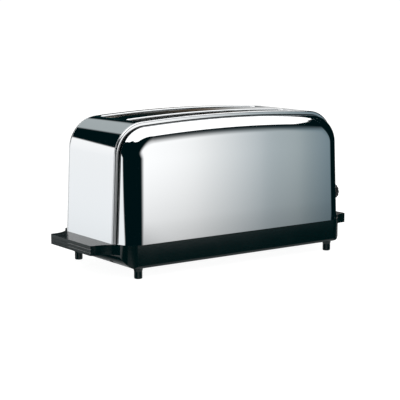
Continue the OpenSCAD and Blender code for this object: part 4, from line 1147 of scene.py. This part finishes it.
# %% White ink
PRINT, tree, shader, place = finish("white_pad_print", "#DADAD6", roughness=0.6)
film = add(tree, "ShaderNodeTexNoise", {"Vector": place, "Scale": 1 / (0.5 * MM), "Detail": 2.0})
tint = add(tree, "ShaderNodeMix", {0: film.outputs[0], 6: linear("#CFCFCA"), 7: linear("#E4E4E0")},
           data_type="RGBA")
fill(tree, shader, {"Base Color": tint.outputs[2]})

# %% [markdown]
# The browning knob carries plain scale marks on its skirt and turns under one index line on the panel.
# The marks turn with the knob, and the line stays on the casing. Each is a thin box of ink that sits a
# little way into the plastic, so that no gap shows under it.

# %% Print on the controls
INK = 0.1 * MM
INK_SEAT = 0.05 * MM
KNOB_SKIRT = 4 * MM
PANEL_T = 2 * MM
MARK_SWING = 135
MARK_STEP = 27
MARK_R = 12.1 * MM
MARK_SIZE = (1.4 * MM, 0.6 * MM)
INDEX_R = 17 * MM
INDEX_SIZE = (4 * MM, 1 * MM)


def printed(name, bars, body):
    """Bars of ink, each one (middle, way along, way across, way out, (length, width))."""
    points, faces = [], []
    for middle, along, across, out, (length, width) in bars:
        first = len(points)
        for rise in (-INK_SEAT, INK):
            for u, v in ((-1, -1), (1, -1), (1, 1), (-1, 1)):
                points.append(Vector(middle) + Vector(along) * (u * length / 2)
                              + Vector(across) * (v * width / 2) + Vector(out) * rise)
        sides = [(i, (i + 1) % 4, (i + 1) % 4 + 4, i + 4) for i in range(4)]
        faces += [tuple(first + i for i in ring) for ring in [(3, 2, 1, 0), (4, 5, 6, 7), *sides]]
    mesh = bpy.data.meshes.new(name)
    mesh.from_pydata(points, [], faces)
    mesh.materials.append(PRINT)
    piece = bpy.data.objects.new(name, mesh)
    bpy.context.scene.collection.objects.link(piece)
    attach(piece, body)
    print(name, len(bars), "bars of ink")


low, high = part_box("browning_knob")
middle = (low + high) / 2
marks = []
for swing in range(-MARK_SWING, MARK_SWING + 1, MARK_STEP):
    side, up = math.sin(math.radians(swing)), math.cos(math.radians(swing))
    spot = (low.x + KNOB_SKIRT, middle.y + MARK_R * side, middle.z + MARK_R * up)
    marks.append((spot, (0, side, up), (0, -up, side), (1, 0, 0), MARK_SIZE))
printed("browning_scale_marks", marks, "knob")
x, z = wall_point(1, (middle.z + INDEX_R - SHELL_FOOT) / lean_cos, -PANEL_T)
index = ((x, middle.y, z), (-lean_sin, 0, lean_cos), (0, -1, 0), (lean_cos, 0, lean_sin), INDEX_SIZE)
printed("browning_index_line", [index], "casing")

# %% [markdown]
# Last, the view layer is brought up to date, so that every piece made here takes its place. A finish
# or a finer skin must not change the toaster's size.

# %% Finish
bpy.context.view_layer.update()
